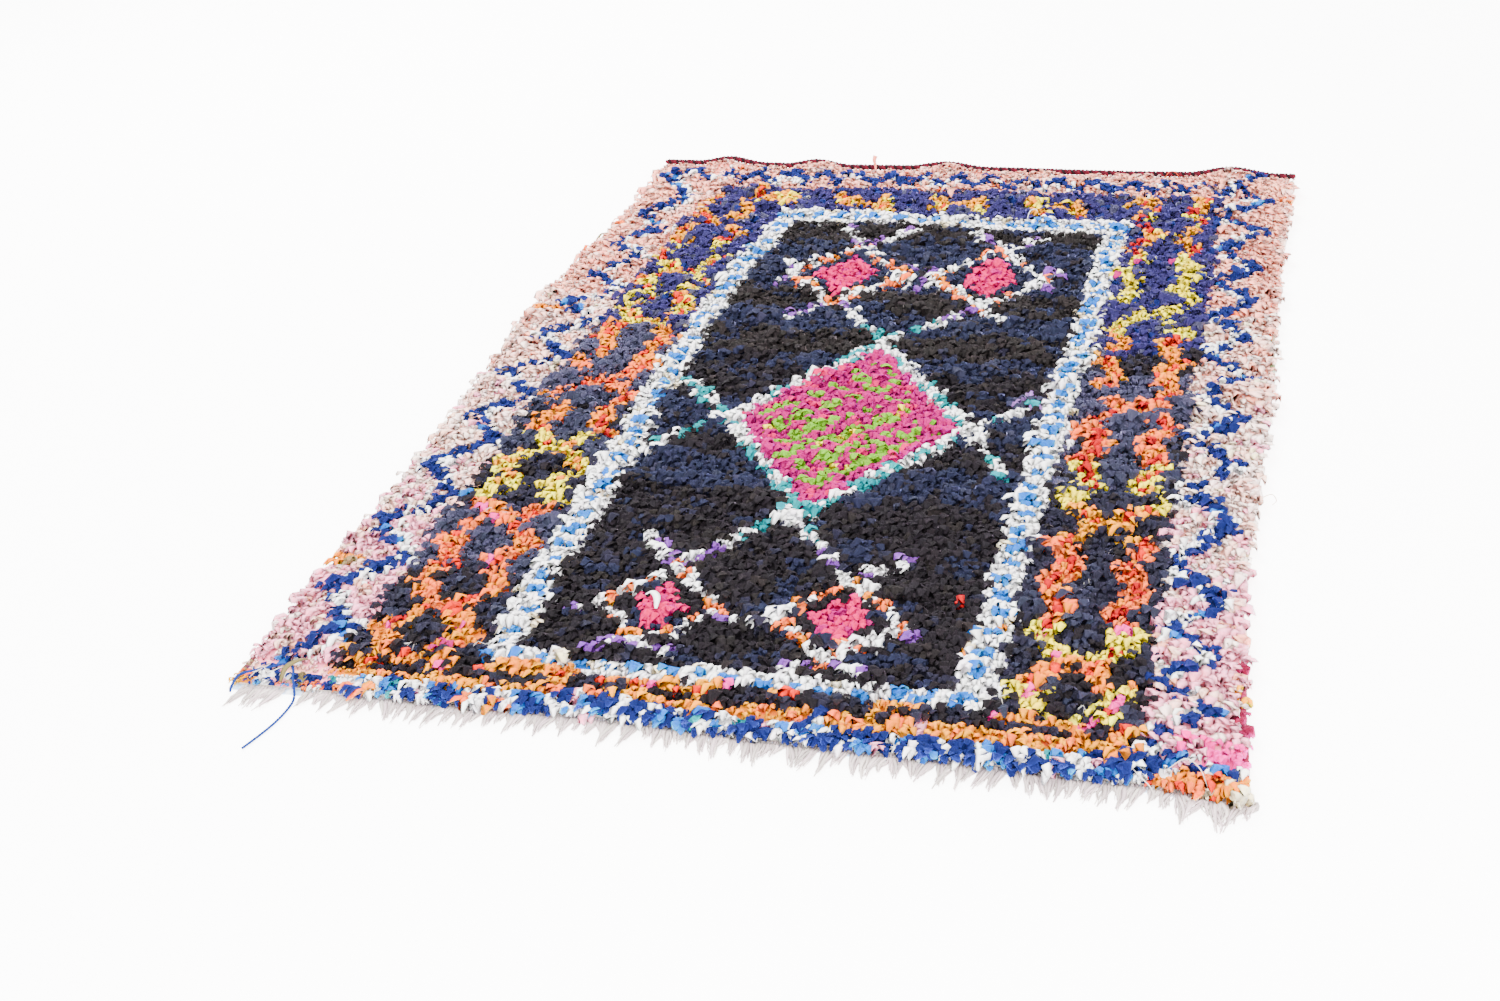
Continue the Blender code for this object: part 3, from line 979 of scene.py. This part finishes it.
def add_blade(bm, layers, rng, length, width, thickness, tip, sway):
    """One closed strip, creased along its middle and torn at its end, that rises from the
    knot and bows over towards -Y. Its verts carry painted shade and light: darker in the
    crease, lighter at the sides and towards the knot."""
    shade_layer, strip_layer = layers
    place = Vector((0.0, 0.0, -root_depth))
    climb = math.radians(rng.uniform(66.0, 84.0))
    drop = math.radians(rng.uniform(42.0, 58.0))
    twist = rng.uniform(-0.6, 0.6)
    turn = rng.uniform(-0.22, 0.22)
    aim = 0.0
    rings = []
    for step in range(blade_steps + 1):
        share = step / blade_steps
        ahead = Vector((math.sin(aim) * math.cos(climb), -math.cos(aim) * math.cos(climb), 0.0))
        ahead.z = math.sin(climb)
        across = Vector((math.cos(aim + twist * share), math.sin(aim + twist * share), 0.0))
        upward = across.cross(ahead).normalized()
        if upward.z < 0.0:
            upward.negate()
        half = width / 2 * (0.55 + 0.9 * share * (1.3 - share))
        if step < blade_steps:
            droop = 0.22 * half * rng.uniform(-0.6, 1.0)
            crease = half * rng.uniform(-0.3, 0.3)
            crest = thickness * (1.0 - 0.25 * share)
            offsets = (
                -across * half - upward * droop,
                across * crease + upward * crest,
                across * half - upward * droop,
            )
            # Painted shade and light: the crease is darker and the sides lighter than the rag's tone
            painted_shades = (1.04, rng.uniform(0.84, 0.98), 1.04)
        else:
            half = width / 2 * tip
            offsets = [across * half * k + ahead * rng.uniform(-tear, tear) for k in (-1, 0, 1)]
            painted_shades = [rng.uniform(0.92, 1.08) for _ in range(3)]
        rings.append([bm.verts.new(place + offset) for offset in offsets])
        for vert, painted_shade in zip(rings[-1], painted_shades):
            # Painted light: the strip is lighter towards its knot, so the gaps between tufts show less
            # shadow
            vert[shade_layer] = painted_shade * (1.12 - 0.12 * min(share / 0.6, 1.0))
        place = place + ahead * length / blade_steps
        climb -= drop * rng.uniform(0.8, 1.2)
        aim += turn + sway * rng.uniform(-1.0, 1.0)

    def close(verts, spots):
        """Adds a face with its place on the strip, kept clear of the strip's sides."""
        face = bm.faces.new(verts)
        for loop, (u, v) in zip(face.loops, spots):
            loop[strip_layer].uv = (0.01 + 0.98 * u, 0.02 + 0.96 * v)

    for step, (first, second) in enumerate(zip(rings, rings[1:])):
        start, end = step / blade_steps, (step + 1) / blade_steps
        last = step == blade_steps - 1
        for k in range(2 if last else 3):
            left, right = k / 3, (k + 1) / 3
            after = (k + 1) % 3
            spots = ((left, start), (right, start), (right, end), (left, end))
            close((first[k], first[after], second[after], second[k]), spots)
        if last:
            under = (first[2], first[0], second[0], second[1], second[2])
            spots = ((0.67, start), (1.0, start), (1.0, end), (0.83, end), (0.67, end))
            close(under, spots)
    close(tuple(reversed(rings[0])), ((0.0, 0.0), (0.25, 0.0), (0.25, 0.01)))


def tuft_shapes(material):
    """A collection of tuft meshes, some variants of each kind, named in their order."""
    rng = random.Random(7)
    shapes = bpy.data.collections.new("tufts")
    for number, kind in enumerate(kind_order):
        length, *form = tuft_kinds[kind]
        for variant in range(variants):
            name = f"tuft_{number}_{variant}"
            bm = bmesh.new()
            # The shade layer carries each strip's painted shade and light
            layers = (bm.verts.layers.float.new("shade"), bm.loops.layers.uv.new("strip"))
            add_blade(bm, layers, rng, length * rng.uniform(0.9, 1.12), *form)
            bmesh.ops.recalc_face_normals(bm, faces=bm.faces)
            mesh = bpy.data.meshes.new(name)
            bm.to_mesh(mesh)
            bm.free()
            if kind != "leaf":
                mesh.shade_smooth()
            mesh.materials.append(material)
            shapes.objects.link(bpy.data.objects.new(name, mesh))
    return shapes


# Height of the pile, size and height of its lumps, and how much lower it lies under the
# yarn and at the far end
pile_stand = 0.0205
lump_size = 0.062
lump_height = 0.0085
corner_dip = 0.0082
far_dip = 0.0060
# A tuft of size 1 stands this far above the ground
tuft_stand = 0.0132


def pile_height(x, y):
    """How far the tufts stand above the floor. They lie flat and even under the yarn."""
    lump = noise.noise(Vector((x, y, 0.0)) / lump_size)
    lump += 0.8 * noise.noise(Vector((x, y, 0.7)) / (lump_size / 2))
    corner = smooth_step((-0.54 - x) / 0.04) * smooth_step((-0.98 - y) / 0.04)
    height = pile_stand + lump_height * lump * (1.0 - corner) - corner_dip * corner
    return height - far_dip * smooth_step((y - cloth_length / 2 + 0.060) / 0.060)


def pile_nodes():
    """Geometry Nodes tree that plants the tufts on the knots and makes them real. With
    it come the identifiers of its inputs."""
    tree = bpy.data.node_groups.new("rag_pile", "GeometryNodeTree")
    face = tree.interface
    geometry = "NodeSocketGeometry"
    face.new_socket(name="Geometry", in_out="OUTPUT", socket_type=geometry)
    identifiers = {}
    for name, kind in (
        ("Geometry", geometry),
        ("Shapes", "NodeSocketCollection"),
        ("Material", "NodeSocketMaterial"),
        ("Seed", "NodeSocketInt"),
        ("Tufts a Knot", "NodeSocketInt"),
        ("Scatter", "NodeSocketVector"),
        ("Tilt", "NodeSocketVector"),
        ("Smallest", "NodeSocketFloat"),
        ("Largest", "NodeSocketFloat"),
        ("Cells", "NodeSocketFloat"),
    ):
        made = face.new_socket(name=name, in_out="INPUT", socket_type=kind)
        identifiers[name] = made.identifier
    given = add_node(tree, "NodeGroupInput").outputs
    result = add_node(tree, "NodeGroupOutput")

    def enabled(sockets, name):
        """The socket of this name that fits the node's data type."""
        return next(s for s in sockets if s.enabled and s.name == name)

    def attribute(name, data_type):
        kind = "GeometryNodeInputNamedAttribute"
        made = add_node(tree, kind, {"Name": name}, data_type=data_type)
        return enabled(made.outputs, "Attribute")

    def maths(operation, first, second=0.0):
        made = add_node(tree, "ShaderNodeMath", {0: first, 1: second}, operation=operation)
        return made.outputs[0]

    def chance(data_type, low, high, salt):
        seed = maths("ADD", given["Seed"], salt)
        kind = "FunctionNodeRandomValue"
        made = add_node(tree, kind, {"Seed": seed}, data_type=data_type)
        feed(tree, enabled(made.inputs, "Min"), low)
        feed(tree, enabled(made.inputs, "Max"), high)
        return enabled(made.outputs, "Value")

    def either_way(reach, salt):
        """A random vector, on each axis up to the reach to either side."""
        inputs = {0: reach, "Scale": -1.0}
        back = add_node(tree, "ShaderNodeVectorMath", inputs, operation="SCALE")
        return chance("FLOAT_VECTOR", back.outputs[0], reach, salt)

    def store(before, name, data_type, domain, value):
        kind = "GeometryNodeStoreNamedAttribute"
        inputs = {"Geometry": before, "Name": name}
        made = add_node(tree, kind, inputs, data_type=data_type, domain=domain)
        feed(tree, enabled(made.inputs, "Value"), value)
        return made.outputs["Geometry"]

    inputs = {"Geometry": given["Geometry"], "Amount": given["Tufts a Knot"]}
    copies = add_node(tree, "GeometryNodeDuplicateElements", inputs, domain="POINT")
    inputs = {"Geometry": copies.outputs["Geometry"], "Offset": either_way(given["Scatter"], 1)}
    spread = add_node(tree, "GeometryNodeSetPosition", inputs)
    inputs = {"Collection": given["Shapes"], "Separate Children": True, "Reset Children": True}
    source = add_node(tree, "GeometryNodeCollectionInfo", inputs)
    size = chance("FLOAT", given["Smallest"], given["Largest"], 3)
    first_of_kind = maths("MULTIPLY", attribute("kind", "INT"), float(variants))
    inputs = {
        "Points": spread.outputs["Geometry"],
        "Instance": source.outputs["Instances"],
        "Pick Instance": True,
        "Instance Index": maths("ADD", first_of_kind, chance("INT", 0, variants - 1, 4)),
        "Rotation": either_way(given["Tilt"], 2),
        "Scale": maths("MULTIPLY", size, attribute("rise", "FLOAT")),
    }
    plant = add_node(tree, "GeometryNodeInstanceOnPoints", inputs)

    # Each tuft has a tone of its own, near the knot's
    cast = chance("FLOAT_VECTOR", (0.95, 0.94, 0.94), (1.05, 1.06, 1.06), 5)
    inputs = {0: attribute("tone", "FLOAT_COLOR"), 1: cast}
    shade = add_node(tree, "ShaderNodeVectorMath", inputs, operation="MULTIPLY")
    inputs = {0: shade.outputs[0], "Scale": chance("FLOAT", 0.90, 1.10, 6)}
    light = add_node(tree, "ShaderNodeVectorMath", inputs, operation="SCALE").outputs[0]
    index = add_node(tree, "GeometryNodeInputIndex").outputs[0]
    kept = store(plant.outputs["Instances"], "tone", "FLOAT_COLOR", "INSTANCE", light)
    kept = store(kept, "cell", "INT", "INSTANCE", index)
    real = add_node(tree, "GeometryNodeRealizeInstances", {"Geometry": kept})

    # The map has a cell for each tuft, in rows, and each strip lies within its own cell
    cells = given["Cells"]
    cell = attribute("cell", "INT")
    strip = add_node(tree, "ShaderNodeSeparateXYZ", {0: attribute("strip", "FLOAT_VECTOR")})
    column = maths("MODULO", cell, cells)
    row = maths("FLOOR", maths("DIVIDE", cell, cells))
    spots = {}
    for axis, whole in enumerate((column, row)):
        inside = maths("ADD", maths("MULTIPLY", strip.outputs[axis], 0.9), 0.05)
        spots[axis] = maths("DIVIDE", maths("ADD", whole, inside), cells)
    joined = add_node(tree, "ShaderNodeCombineXYZ", spots).outputs[0]
    clean = store(real.outputs["Geometry"], "OFBake", "FLOAT2", "CORNER", joined)
    for name in ("strip", "cell", "kind", "rise"):
        inputs = {"Geometry": clean, "Name": name}
        clean = add_node(tree, "GeometryNodeRemoveAttribute", inputs).outputs["Geometry"]
    inputs = {"Geometry": clean, "Material": given["Material"]}
    paint = add_node(tree, "GeometryNodeSetMaterial", inputs)
    feed(tree, result.inputs["Geometry"], paint.outputs["Geometry"])
    return tree, identifiers


def rag_material():
    """Worn jersey and cotton, thin enough to let light through, with painted shade and
    light in its colour: darker in the folds, lighter at the sides and towards the knot.
    """
    material = fibre_material("rag_strips", 260.0, 0.0010, roughness=0.95, dim=0.92)
    tree = material.node_tree
    shader = tree.nodes["Principled BSDF"]
    shader.inputs["Subsurface Weight"].default_value = 0.7
    shader.inputs["Subsurface Scale"].default_value = 0.006
    shader.inputs["Subsurface Radius"].default_value = (1.0, 1.0, 1.0)
    colour = shader.inputs["Base Color"].links[0].from_socket
    # Painted shade and light: the strips' shade attribute scales the colour
    shade = add_node(tree, "ShaderNodeAttribute", attribute_name="shade").outputs["Fac"]
    inputs = {0: colour, "Scale": shade}
    shaded = add_node(tree, "ShaderNodeVectorMath", inputs, operation="SCALE")
    feed(tree, shader.inputs["Base Color"], shaded.outputs[0])
    return material


# Low tips at the rim rest on the floor
lowest_tip = 0.0003


def plant_part(part, rows, seed):
    """The tufts of one part of the design, as one plain mesh."""
    points = bpy.data.meshes.new(part)
    places = []
    for column, row, place, *_ in rows:
        stagger = 0.25 * cloth_width / knots_across * (1 if row % 2 else -1)
        ground_height = ground_thickness + lift(place.x, place.y)
        places.append(pile_middle + place + Vector((stagger, 0.0, ground_height)))
    points.from_pydata(places, [], [])
    for name, data_type in (("tone", "FLOAT_COLOR"), ("kind", "INT"), ("rise", "FLOAT")):
        points.attributes.new(name, data_type, "POINT")
    tone_values = points.attributes["tone"].data
    kind_values = points.attributes["kind"].data
    rise_values = points.attributes["rise"].data
    for number, (_, _, place, tone, _) in enumerate(rows):
        tone_values[number].color = srgb(*tones[tone])
        kind_values[number].value = kind_order.index(tone_kinds[tone])
        stand = pile_height(place.x, place.y) - ground_thickness
        rise_values[number].value = stand / tuft_stand
    holder = add_object(part, points)
    modifier = holder.modifiers.new("pile", "NODES")
    modifier.node_group = pile_tree
    for name, value in (
        ("Shapes", shapes),
        ("Material", rags),
        ("Seed", seed),
        ("Tufts a Knot", tufts_a_knot),
        ("Scatter", (0.0044, 0.0050, 0.0)),
        ("Tilt", (0.22, 0.20, 0.46)),
        ("Smallest", 0.86),
        ("Largest", 1.16),
        ("Cells", float(math.ceil(math.sqrt(tufts_a_knot * len(rows))))),
    ):
        modifier[pile_inputs[name]] = value
    graph = bpy.context.evaluated_depsgraph_get()
    mesh = bpy.data.meshes.new_from_object(holder.evaluated_get(graph))
    mesh.name = part
    for vert in mesh.vertices:
        vert.co.z = max(vert.co.z, lowest_tip)
    bpy.data.objects.remove(holder)
    bpy.data.meshes.remove(points)
    piece = add_object(part, mesh)
    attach(piece, "root")
    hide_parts("pile")
    return piece


rags = rag_material()
shapes = tuft_shapes(rags)
pile_tree, pile_inputs = pile_nodes()
for number, part in enumerate(sorted({part for *_, part in knots})):
    rows = [knot for knot in knots + extras if knot[4] == part]
    plant_part("pile_" + part, rows, 10 * number)
for helper in list(shapes.objects):
    mesh = helper.data
    bpy.data.objects.remove(helper)
    bpy.data.meshes.remove(mesh)
bpy.data.collections.remove(shapes)

# Warp fringe
# The warp ends at the near end, cut and frayed. They hang from a narrow web woven with
# pale blue and white weft, and lie level on the floor.
web_depth = 0.0125
web_thickness = 0.0035
# How far the web reaches under the edge of the ground
web_overlap = 0.0007
web_segments = 180
web_left = left_edge(-cloth_length / 2) + 0.002
web_right = right_edge(-cloth_length / 2) - 0.002
web_blue = srgb(176, 204, 236)
web_white = srgb(244, 242, 244)
# Columns: share of the web's depth, share of its thickness
web_section = ((0.0, 0.0), (0.0, 1.0), (0.5, 1.06), (1.0, 0.8), (1.0, 0.0))
strands_a_clump = 11
strand_steps = 5
clump_half = 0.0094
# Height of the strands where they leave the web
strand_start_height = 0.0052
# From here to the right the fringe grows denser and longer
bushy_start = 0.62
# Columns: start and end along X of the clumps that the yarn lies in place of
yarn_crossings = ((-0.80, -0.738), (-0.664, -0.628))


def fringe_length(x):
    wave = 0.5 + 0.5 * noise.noise(Vector((x * 31.0, 4.0, 0.0)))
    return 0.036 + 0.022 * wave + 0.014 * smooth_step((x - 0.60) / 0.10)


def fringe_lean(x):
    lean = 0.30 * noise.noise(Vector((x * 9.0, 8.0, 0.0))) - 0.05
    lean -= 0.45 * smooth_step((-0.66 - x) / 0.06)
    return lean + 0.10 * noise.noise(Vector((x * 40.0, 2.0, 0.0)))


def weave_web(bm, tone_layer):
    """A flat band along the near edge, with a white pick after every two blue ones."""
    rings = []
    for number in range(web_segments + 1):
        x = web_left + (web_right - web_left) * number / web_segments
        top = web_thickness * (0.85 + 0.15 * math.sin(number * 1.7))
        far = near_edge(x) + web_overlap
        ring = []
        for depth, rise in web_section:
            vert = bm.verts.new((x, far - web_depth * depth, rise * top))
            vert[tone_layer] = web_blue if number % 3 else web_white
            ring.append(vert)
        rings.append(ring)
    corners = len(web_section)
    for first, second in zip(rings, rings[1:]):
        for k in range(corners):
            after = (k + 1) % corners
            bm.faces.new((first[k], first[after], second[after], second[k]))
    bm.faces.new(rings[0])
    bm.faces.new(list(reversed(rings[-1])))


def lay_clump(bm, tone_layer, rng, middle_x, bushy):
    """Strands that leave the web side by side and draw together towards their ends."""
    length = fringe_length(middle_x) * rng.choice((0.52, 0.70, 0.86, 0.98, 1.06))
    lean = fringe_lean(middle_x) + rng.uniform(-0.38, 0.30)
    gather = rng.uniform(0.30, 0.85)
    for strand in range(strands_a_clump):
        side = 2.0 * (strand + 0.5) / strands_a_clump - 1.0
        off = side * clump_half + rng.uniform(-0.0012, 0.0012)
        reach = length * (1.0 - 0.30 * abs(side)) * rng.uniform(0.72, 1.0)
        start = 0.0030 if strand % 3 else 0.0090
        curl = rng.uniform(-0.0030, 0.0030) * (1.0 + bushy)
        wide = rng.uniform(0.0024, 0.0038) if strand % 2 else rng.uniform(0.0011, 0.0017)
        thick = min(wide, 0.0016)
        shade = rng.uniform(0.70, 0.87)
        tint = srgb(shade * 248, shade * rng.uniform(222, 236), shade * 226)
        points = []
        for step in range(strand_steps + 1):
            share = step / strand_steps
            x = middle_x + off * (1.0 - gather * smooth_step(share)) + reach * share * lean
            x += curl * math.sin(share * 5.0 + strand)
            y = near_edge(x) + web_overlap - web_depth + start - (reach + start) * share
            fall = smooth_step(share / 0.45)
            height = strand_start_height * (1.0 - fall) + (thick + 0.0002) * fall
            height += 0.0020 * (strand % 3) * math.sin(share * math.pi)
            points.append(Vector((x, y, height)))

        def section(i, _, wide=wide, thick=thick):
            taper = 1.0 - 0.72 * smooth_step((i - 1.5) / 3.5)
            wide, thick = wide * taper, thick * taper
            return ((-wide, 0.0), (0.0, thick), (wide, 0.0), (0.0, -thick))

        sweep(bm, points, section, ((tone_layer, lambda *_, tint=tint: tint),))


def build_fringe():
    rng = random.Random(3)
    bm = bmesh.new()
    tone_layer = bm.verts.layers.float_color.new("tone")
    weave_web(bm, tone_layer)
    x = web_left + 0.004
    while x < web_right + 0.004:
        middle_x = x
        bushy = smooth_step((x - bushy_start) / 0.06)
        x += rng.uniform(0.0105, 0.0215) * (1.0 - 0.40 * bushy)
        if not any(start < middle_x < end for start, end in yarn_crossings):
            lay_clump(bm, tone_layer, rng, middle_x, bushy)
    return bm


warp_cotton = fibre_material("warp_cotton", 800.0, 0.0004)
fringe = finish_mesh("warp_ends", build_fringe(), warp_cotton)
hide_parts("warp_fringe")

# End plait
# Three strands of wool yarn, two burgundy and one dark brown, plaited flat along the
# far edge to hold the last weft. It follows the ruffles of the cloth.
plait_period = 0.021
plait_width = 0.0104
plait_sway = 0.0046
plait_height = 0.0112
plait_rise = 0.0030
plait_step = 0.0026
plait_start = left_edge(cloth_length / 2) + 0.001
plait_end = right_edge(cloth_length / 2) - 0.001
plait_tones = (srgb(92, 22, 36), srgb(70, 18, 30), srgb(28, 19, 22))
strand_radius = 0.0044
# Turn of a strand about itself, in radians for each metre
strand_twist = 260.0


def strand_section(_, distance):
    """Three plies, whose ridges turn with the twist."""
    corners = []
    for k in range(6):
        angle = math.tau * k / 6 + strand_twist * distance
        reach = strand_radius * (1.0 if k % 2 else 0.88)
        corners.append((reach * math.cos(angle), reach * math.sin(angle)))
    return corners


def build_plait():
    bm = bmesh.new()
    tone_layer = bm.verts.layers.float_color.new("tone")
    steps = round((plait_end - plait_start) / plait_step)
    for number, tone in enumerate(plait_tones):
        points = []
        for step in range(steps + 1):
            x = plait_start + (plait_end - plait_start) * step / steps
            turn = math.tau * (x / plait_period + number / len(plait_tones))
            y = far_edge(x) + plait_width / 2 + plait_sway * math.sin(turn)
            z = plait_height + lift(x, far_edge(x)) + plait_rise * math.sin(2.0 * turn)
            points.append(Vector((x, y, z)))
        sweep(bm, points, strand_section, ((tone_layer, lambda *_, tone=tone: tone),))
    return bm


plait_wool = fibre_material("plait_wool", 600.0, 0.0006)
plait = finish_mesh("plaited_end", build_plait(), plait_wool)
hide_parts("end_plait")

# Odd ends
# Rag ends and threads of the same cloth that stand or curl out of the pile here and
# there, where a knot was cut long or has come loose.
# Columns: tone, half width, then places as centimetres across and along the rug and
# millimetres above the floor
odd_ends = (
    ("salmon", 0.0042, ((53.6, 216.0, 10), (53.5, 216.4, 20), (53.3, 216.3, 32), (53.6, 216.5, 43))),
    ("white", 0.0060, ((56.4, 30.6, 24), (57.6, 30.4, 31), (58.9, 28.8, 33), (59.4, 26.6, 27))),
    ("khaki", 0.0060, ((7.4, 0.8, 12), (7.8, 2.6, 27), (8.8, 5.0, 25), (9.4, 6.2, 18))),
    ("coral", 0.0009, ((121.5, 213, 18), (122.4, 214.6, 27), (123.6, 215.2, 25), (124.5, 214.0, 20))),
    ("khaki", 0.0040, ((1.2, 171.4, 16), (0.2, 170.4, 21), (-0.6, 169.0, 12), (-0.4, 167.6, 6))),
    ("thread", 0.0009, ((2.2, 0.8, 14), (3.6, 2.6, 24), (5.4, 1.4, 24), (7.0, 2.8, 24), (8.2, 1.0, 18))),
    ("thread", 0.0009, ((1.4, 3.4, 16), (3.0, 1.2, 23), (4.6, 3.4, 24), (3.2, 4.6, 21))),
    ("beige", 0.0008, ((148.4, 74.6, 14), (150.0, 75.4, 17), (150.8, 74.4, 12), (150.2, 73.2, 10))),
    ("thread", 0.0010, ((139.0, 1.4, 18), (141.4, 3.2, 27), (143.4, 1.6, 26), (144.6, -0.6, 14))),
    ("thread", 0.0010, ((134.6, 1.2, 18), (135.8, -0.8, 22), (137.4, -1.8, 12), (138.0, -3.2, 5))),
    ("white", 0.0009, ((94.0, 186.0, 20), (94.4, 188.6, 30), (95.4, 190.4, 27), (96.2, 189.0, 20))),
)


def build_odd_ends():
    """Flat strips, tapered to both ends, or wider to the top where they stand."""
    bm = bmesh.new()
    tone_layer = bm.faces.layers.float_color.new("tone")
    for tone, half, places in odd_ends:
        route = [
            Vector((x / 100 - cloth_width / 2, y / 100 - cloth_length / 2, z / 1000))
            for x, y, z in places
        ]
        points = smooth_route(route, 0.003)
        standing = route[-1].z - route[0].z > 0.025
        last = len(points) - 1

        def section(i, _, half=half, last=last, standing=standing):
            taper = 0.5 + 0.8 * i / last if standing else 0.4 + 0.6 * math.sin(math.pi * i / last)
            wide, thick = half * taper, min(half, 0.0010)
            return ((-wide, 0.0), (0.0, thick), (wide, 0.0), (0.0, -thick))

        before = len(bm.faces)
        up = Vector((0.0, 1.0, 0.0)) if standing else Vector((0.0, 0.0, 1.0))
        sweep(bm, points, section, up=up)
        bm.faces.ensure_lookup_table()
        for face in bm.faces[before:]:
            face[tone_layer] = srgb(*tones[tone])
    return bm


loose_ends = finish_mesh("loose_ends", build_odd_ends(), cotton)
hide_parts("pile")

# Selvedges
# The outer warps of each side, wrapped with leftover yarn whose colour changes along
# the rug, so that they make a firm cord under the pile's edge.
selvedge_radius = 0.0054
selvedge_inset = 0.0058
# Length of the cord that one ring of the mesh stands for
wrap_pitch = 0.0042
# Columns: distance from the near end up to which the wrapping has these two tones
left_wraps = (
    (0.34, (92, 44, 50), (120, 108, 74)),
    (0.80, (74, 58, 50), (96, 48, 56)),
    (1.30, (112, 100, 72), (84, 52, 48)),
    (1.62, (92, 44, 50), (70, 60, 56)),
    (1.80, (140, 128, 84), (104, 94, 66)),
    (2.30, (150, 132, 110), (92, 44, 50)),
)
right_wraps = (
    (0.36, (124, 22, 56), (150, 56, 84)),
    (0.72, (112, 48, 70), (176, 150, 118)),
    (1.16, (104, 62, 74), (150, 134, 112)),
    (1.36, (196, 198, 190), (116, 146, 98)),
    (1.90, (120, 66, 70), (160, 140, 116)),
    (2.30, (206, 184, 156), (170, 150, 128)),
)


def build_selvedge(side, edge, wraps):
    """A round cord along one side, whose thickness and tone change from wrap to wrap."""
    bm = bmesh.new()
    tone_layer = bm.verts.layers.float_color.new("tone")
    rings = round(cloth_length / wrap_pitch)
    inward = 1.0 if side == "left" else -1.0
    points = []
    for number in range(rings + 1):
        share = number / rings
        y = near_edge(edge(-cloth_length / 2)) + 0.002 + share * (cloth_length - 0.004)
        y = min(y, far_edge(edge(cloth_length / 2)) - 0.001)
        lap = 0.0004 * math.sin(share * 700.0)
        z = 0.0003 + selvedge_radius * math.cos(math.pi / 6)
        points.append(Vector((edge(y) + inward * (selvedge_inset + lap), y, z)))

    def section(i, _):
        reach = selvedge_radius * (0.93 + 0.06 * math.sin(1.9 * i))
        corners = []
        for k in range(8):
            angle = math.tau * (k + 0.5) / 8
            corners.append((reach * math.cos(angle), 0.93 * reach * math.sin(angle)))
        return corners

    def tone(i, s):
        for reach, first, second in wraps:
            if s < reach:
                break
        blend = noise.noise(Vector((s * 9.0, 3.0 if side == "left" else 5.0, 0.0)))
        return srgb(*(first if blend + 0.3 * math.sin(2.4 * i) > 0.0 else second))

    sweep(bm, points, section, ((tone_layer, tone),))
    return bm


wrapping = fibre_material("wrapping_yarn", 600.0, 0.0008)
for side, edge, wraps in (("left", left_edge, left_wraps), ("right", right_edge, right_wraps)):
    cord = build_selvedge(side, edge, wraps)
    selvedge = finish_mesh("wrapped_" + side, cord, wrapping)
    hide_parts("selvedge_" + side)

# Light and floor
# A pale seamless floor, lit through from below as well, under soft studio light: a large
# soft key from the far left and a wide fill from the near side, so that the tufts cast
# soft shadows.
floor_material = bpy.data.materials.new("pale_floor")
floor_material.use_nodes = True
floor_shader = floor_material.node_tree.nodes["Principled BSDF"]
floor_shader.inputs["Base Color"].default_value = srgb(252, 252, 251)
floor_shader.inputs["Roughness"].default_value = 0.9
floor_shader.inputs["Emission Color"].default_value = (1.0, 1.0, 1.0, 1.0)
floor_shader.inputs["Emission Strength"].default_value = 5.0
floor_mesh = bpy.data.meshes.new("floor")
floor_corners = [(9.0 * x, 9.0 * y, 0.0) for x, y in ((-1, -1), (1, -1), (1, 1), (-1, 1))]
floor_mesh.from_pydata(floor_corners, [], [(0, 1, 2, 3)])
floor_mesh.materials.append(floor_material)
floor = add_object("floor", floor_mesh)
# Just below the rug's underside, so that the two don't share a plane
floor.location.z = -0.0005


def area_light(name, place, size, power):
    """A square soft light that is turned to the middle of the rug."""
    data = bpy.data.lights.new(name, "AREA")
    data.size = size
    data.energy = power
    light = add_object(name, data)
    aim_at(light, place, (0.0, 0.0, 0.0))
    return light


key = area_light("key", (-2.2, 2.4, 3.4), 2.2, 480.0)
fill = area_light("fill", (1.2, -3.4, 2.8), 3.2, 530.0)
world = bpy.data.worlds.new("studio")
world.use_nodes = True
backdrop = world.node_tree.nodes["Background"]
backdrop.inputs["Color"].default_value = (1.0, 1.0, 1.0, 1.0)
backdrop.inputs["Strength"].default_value = 5.0
bpy.context.scene.world = world
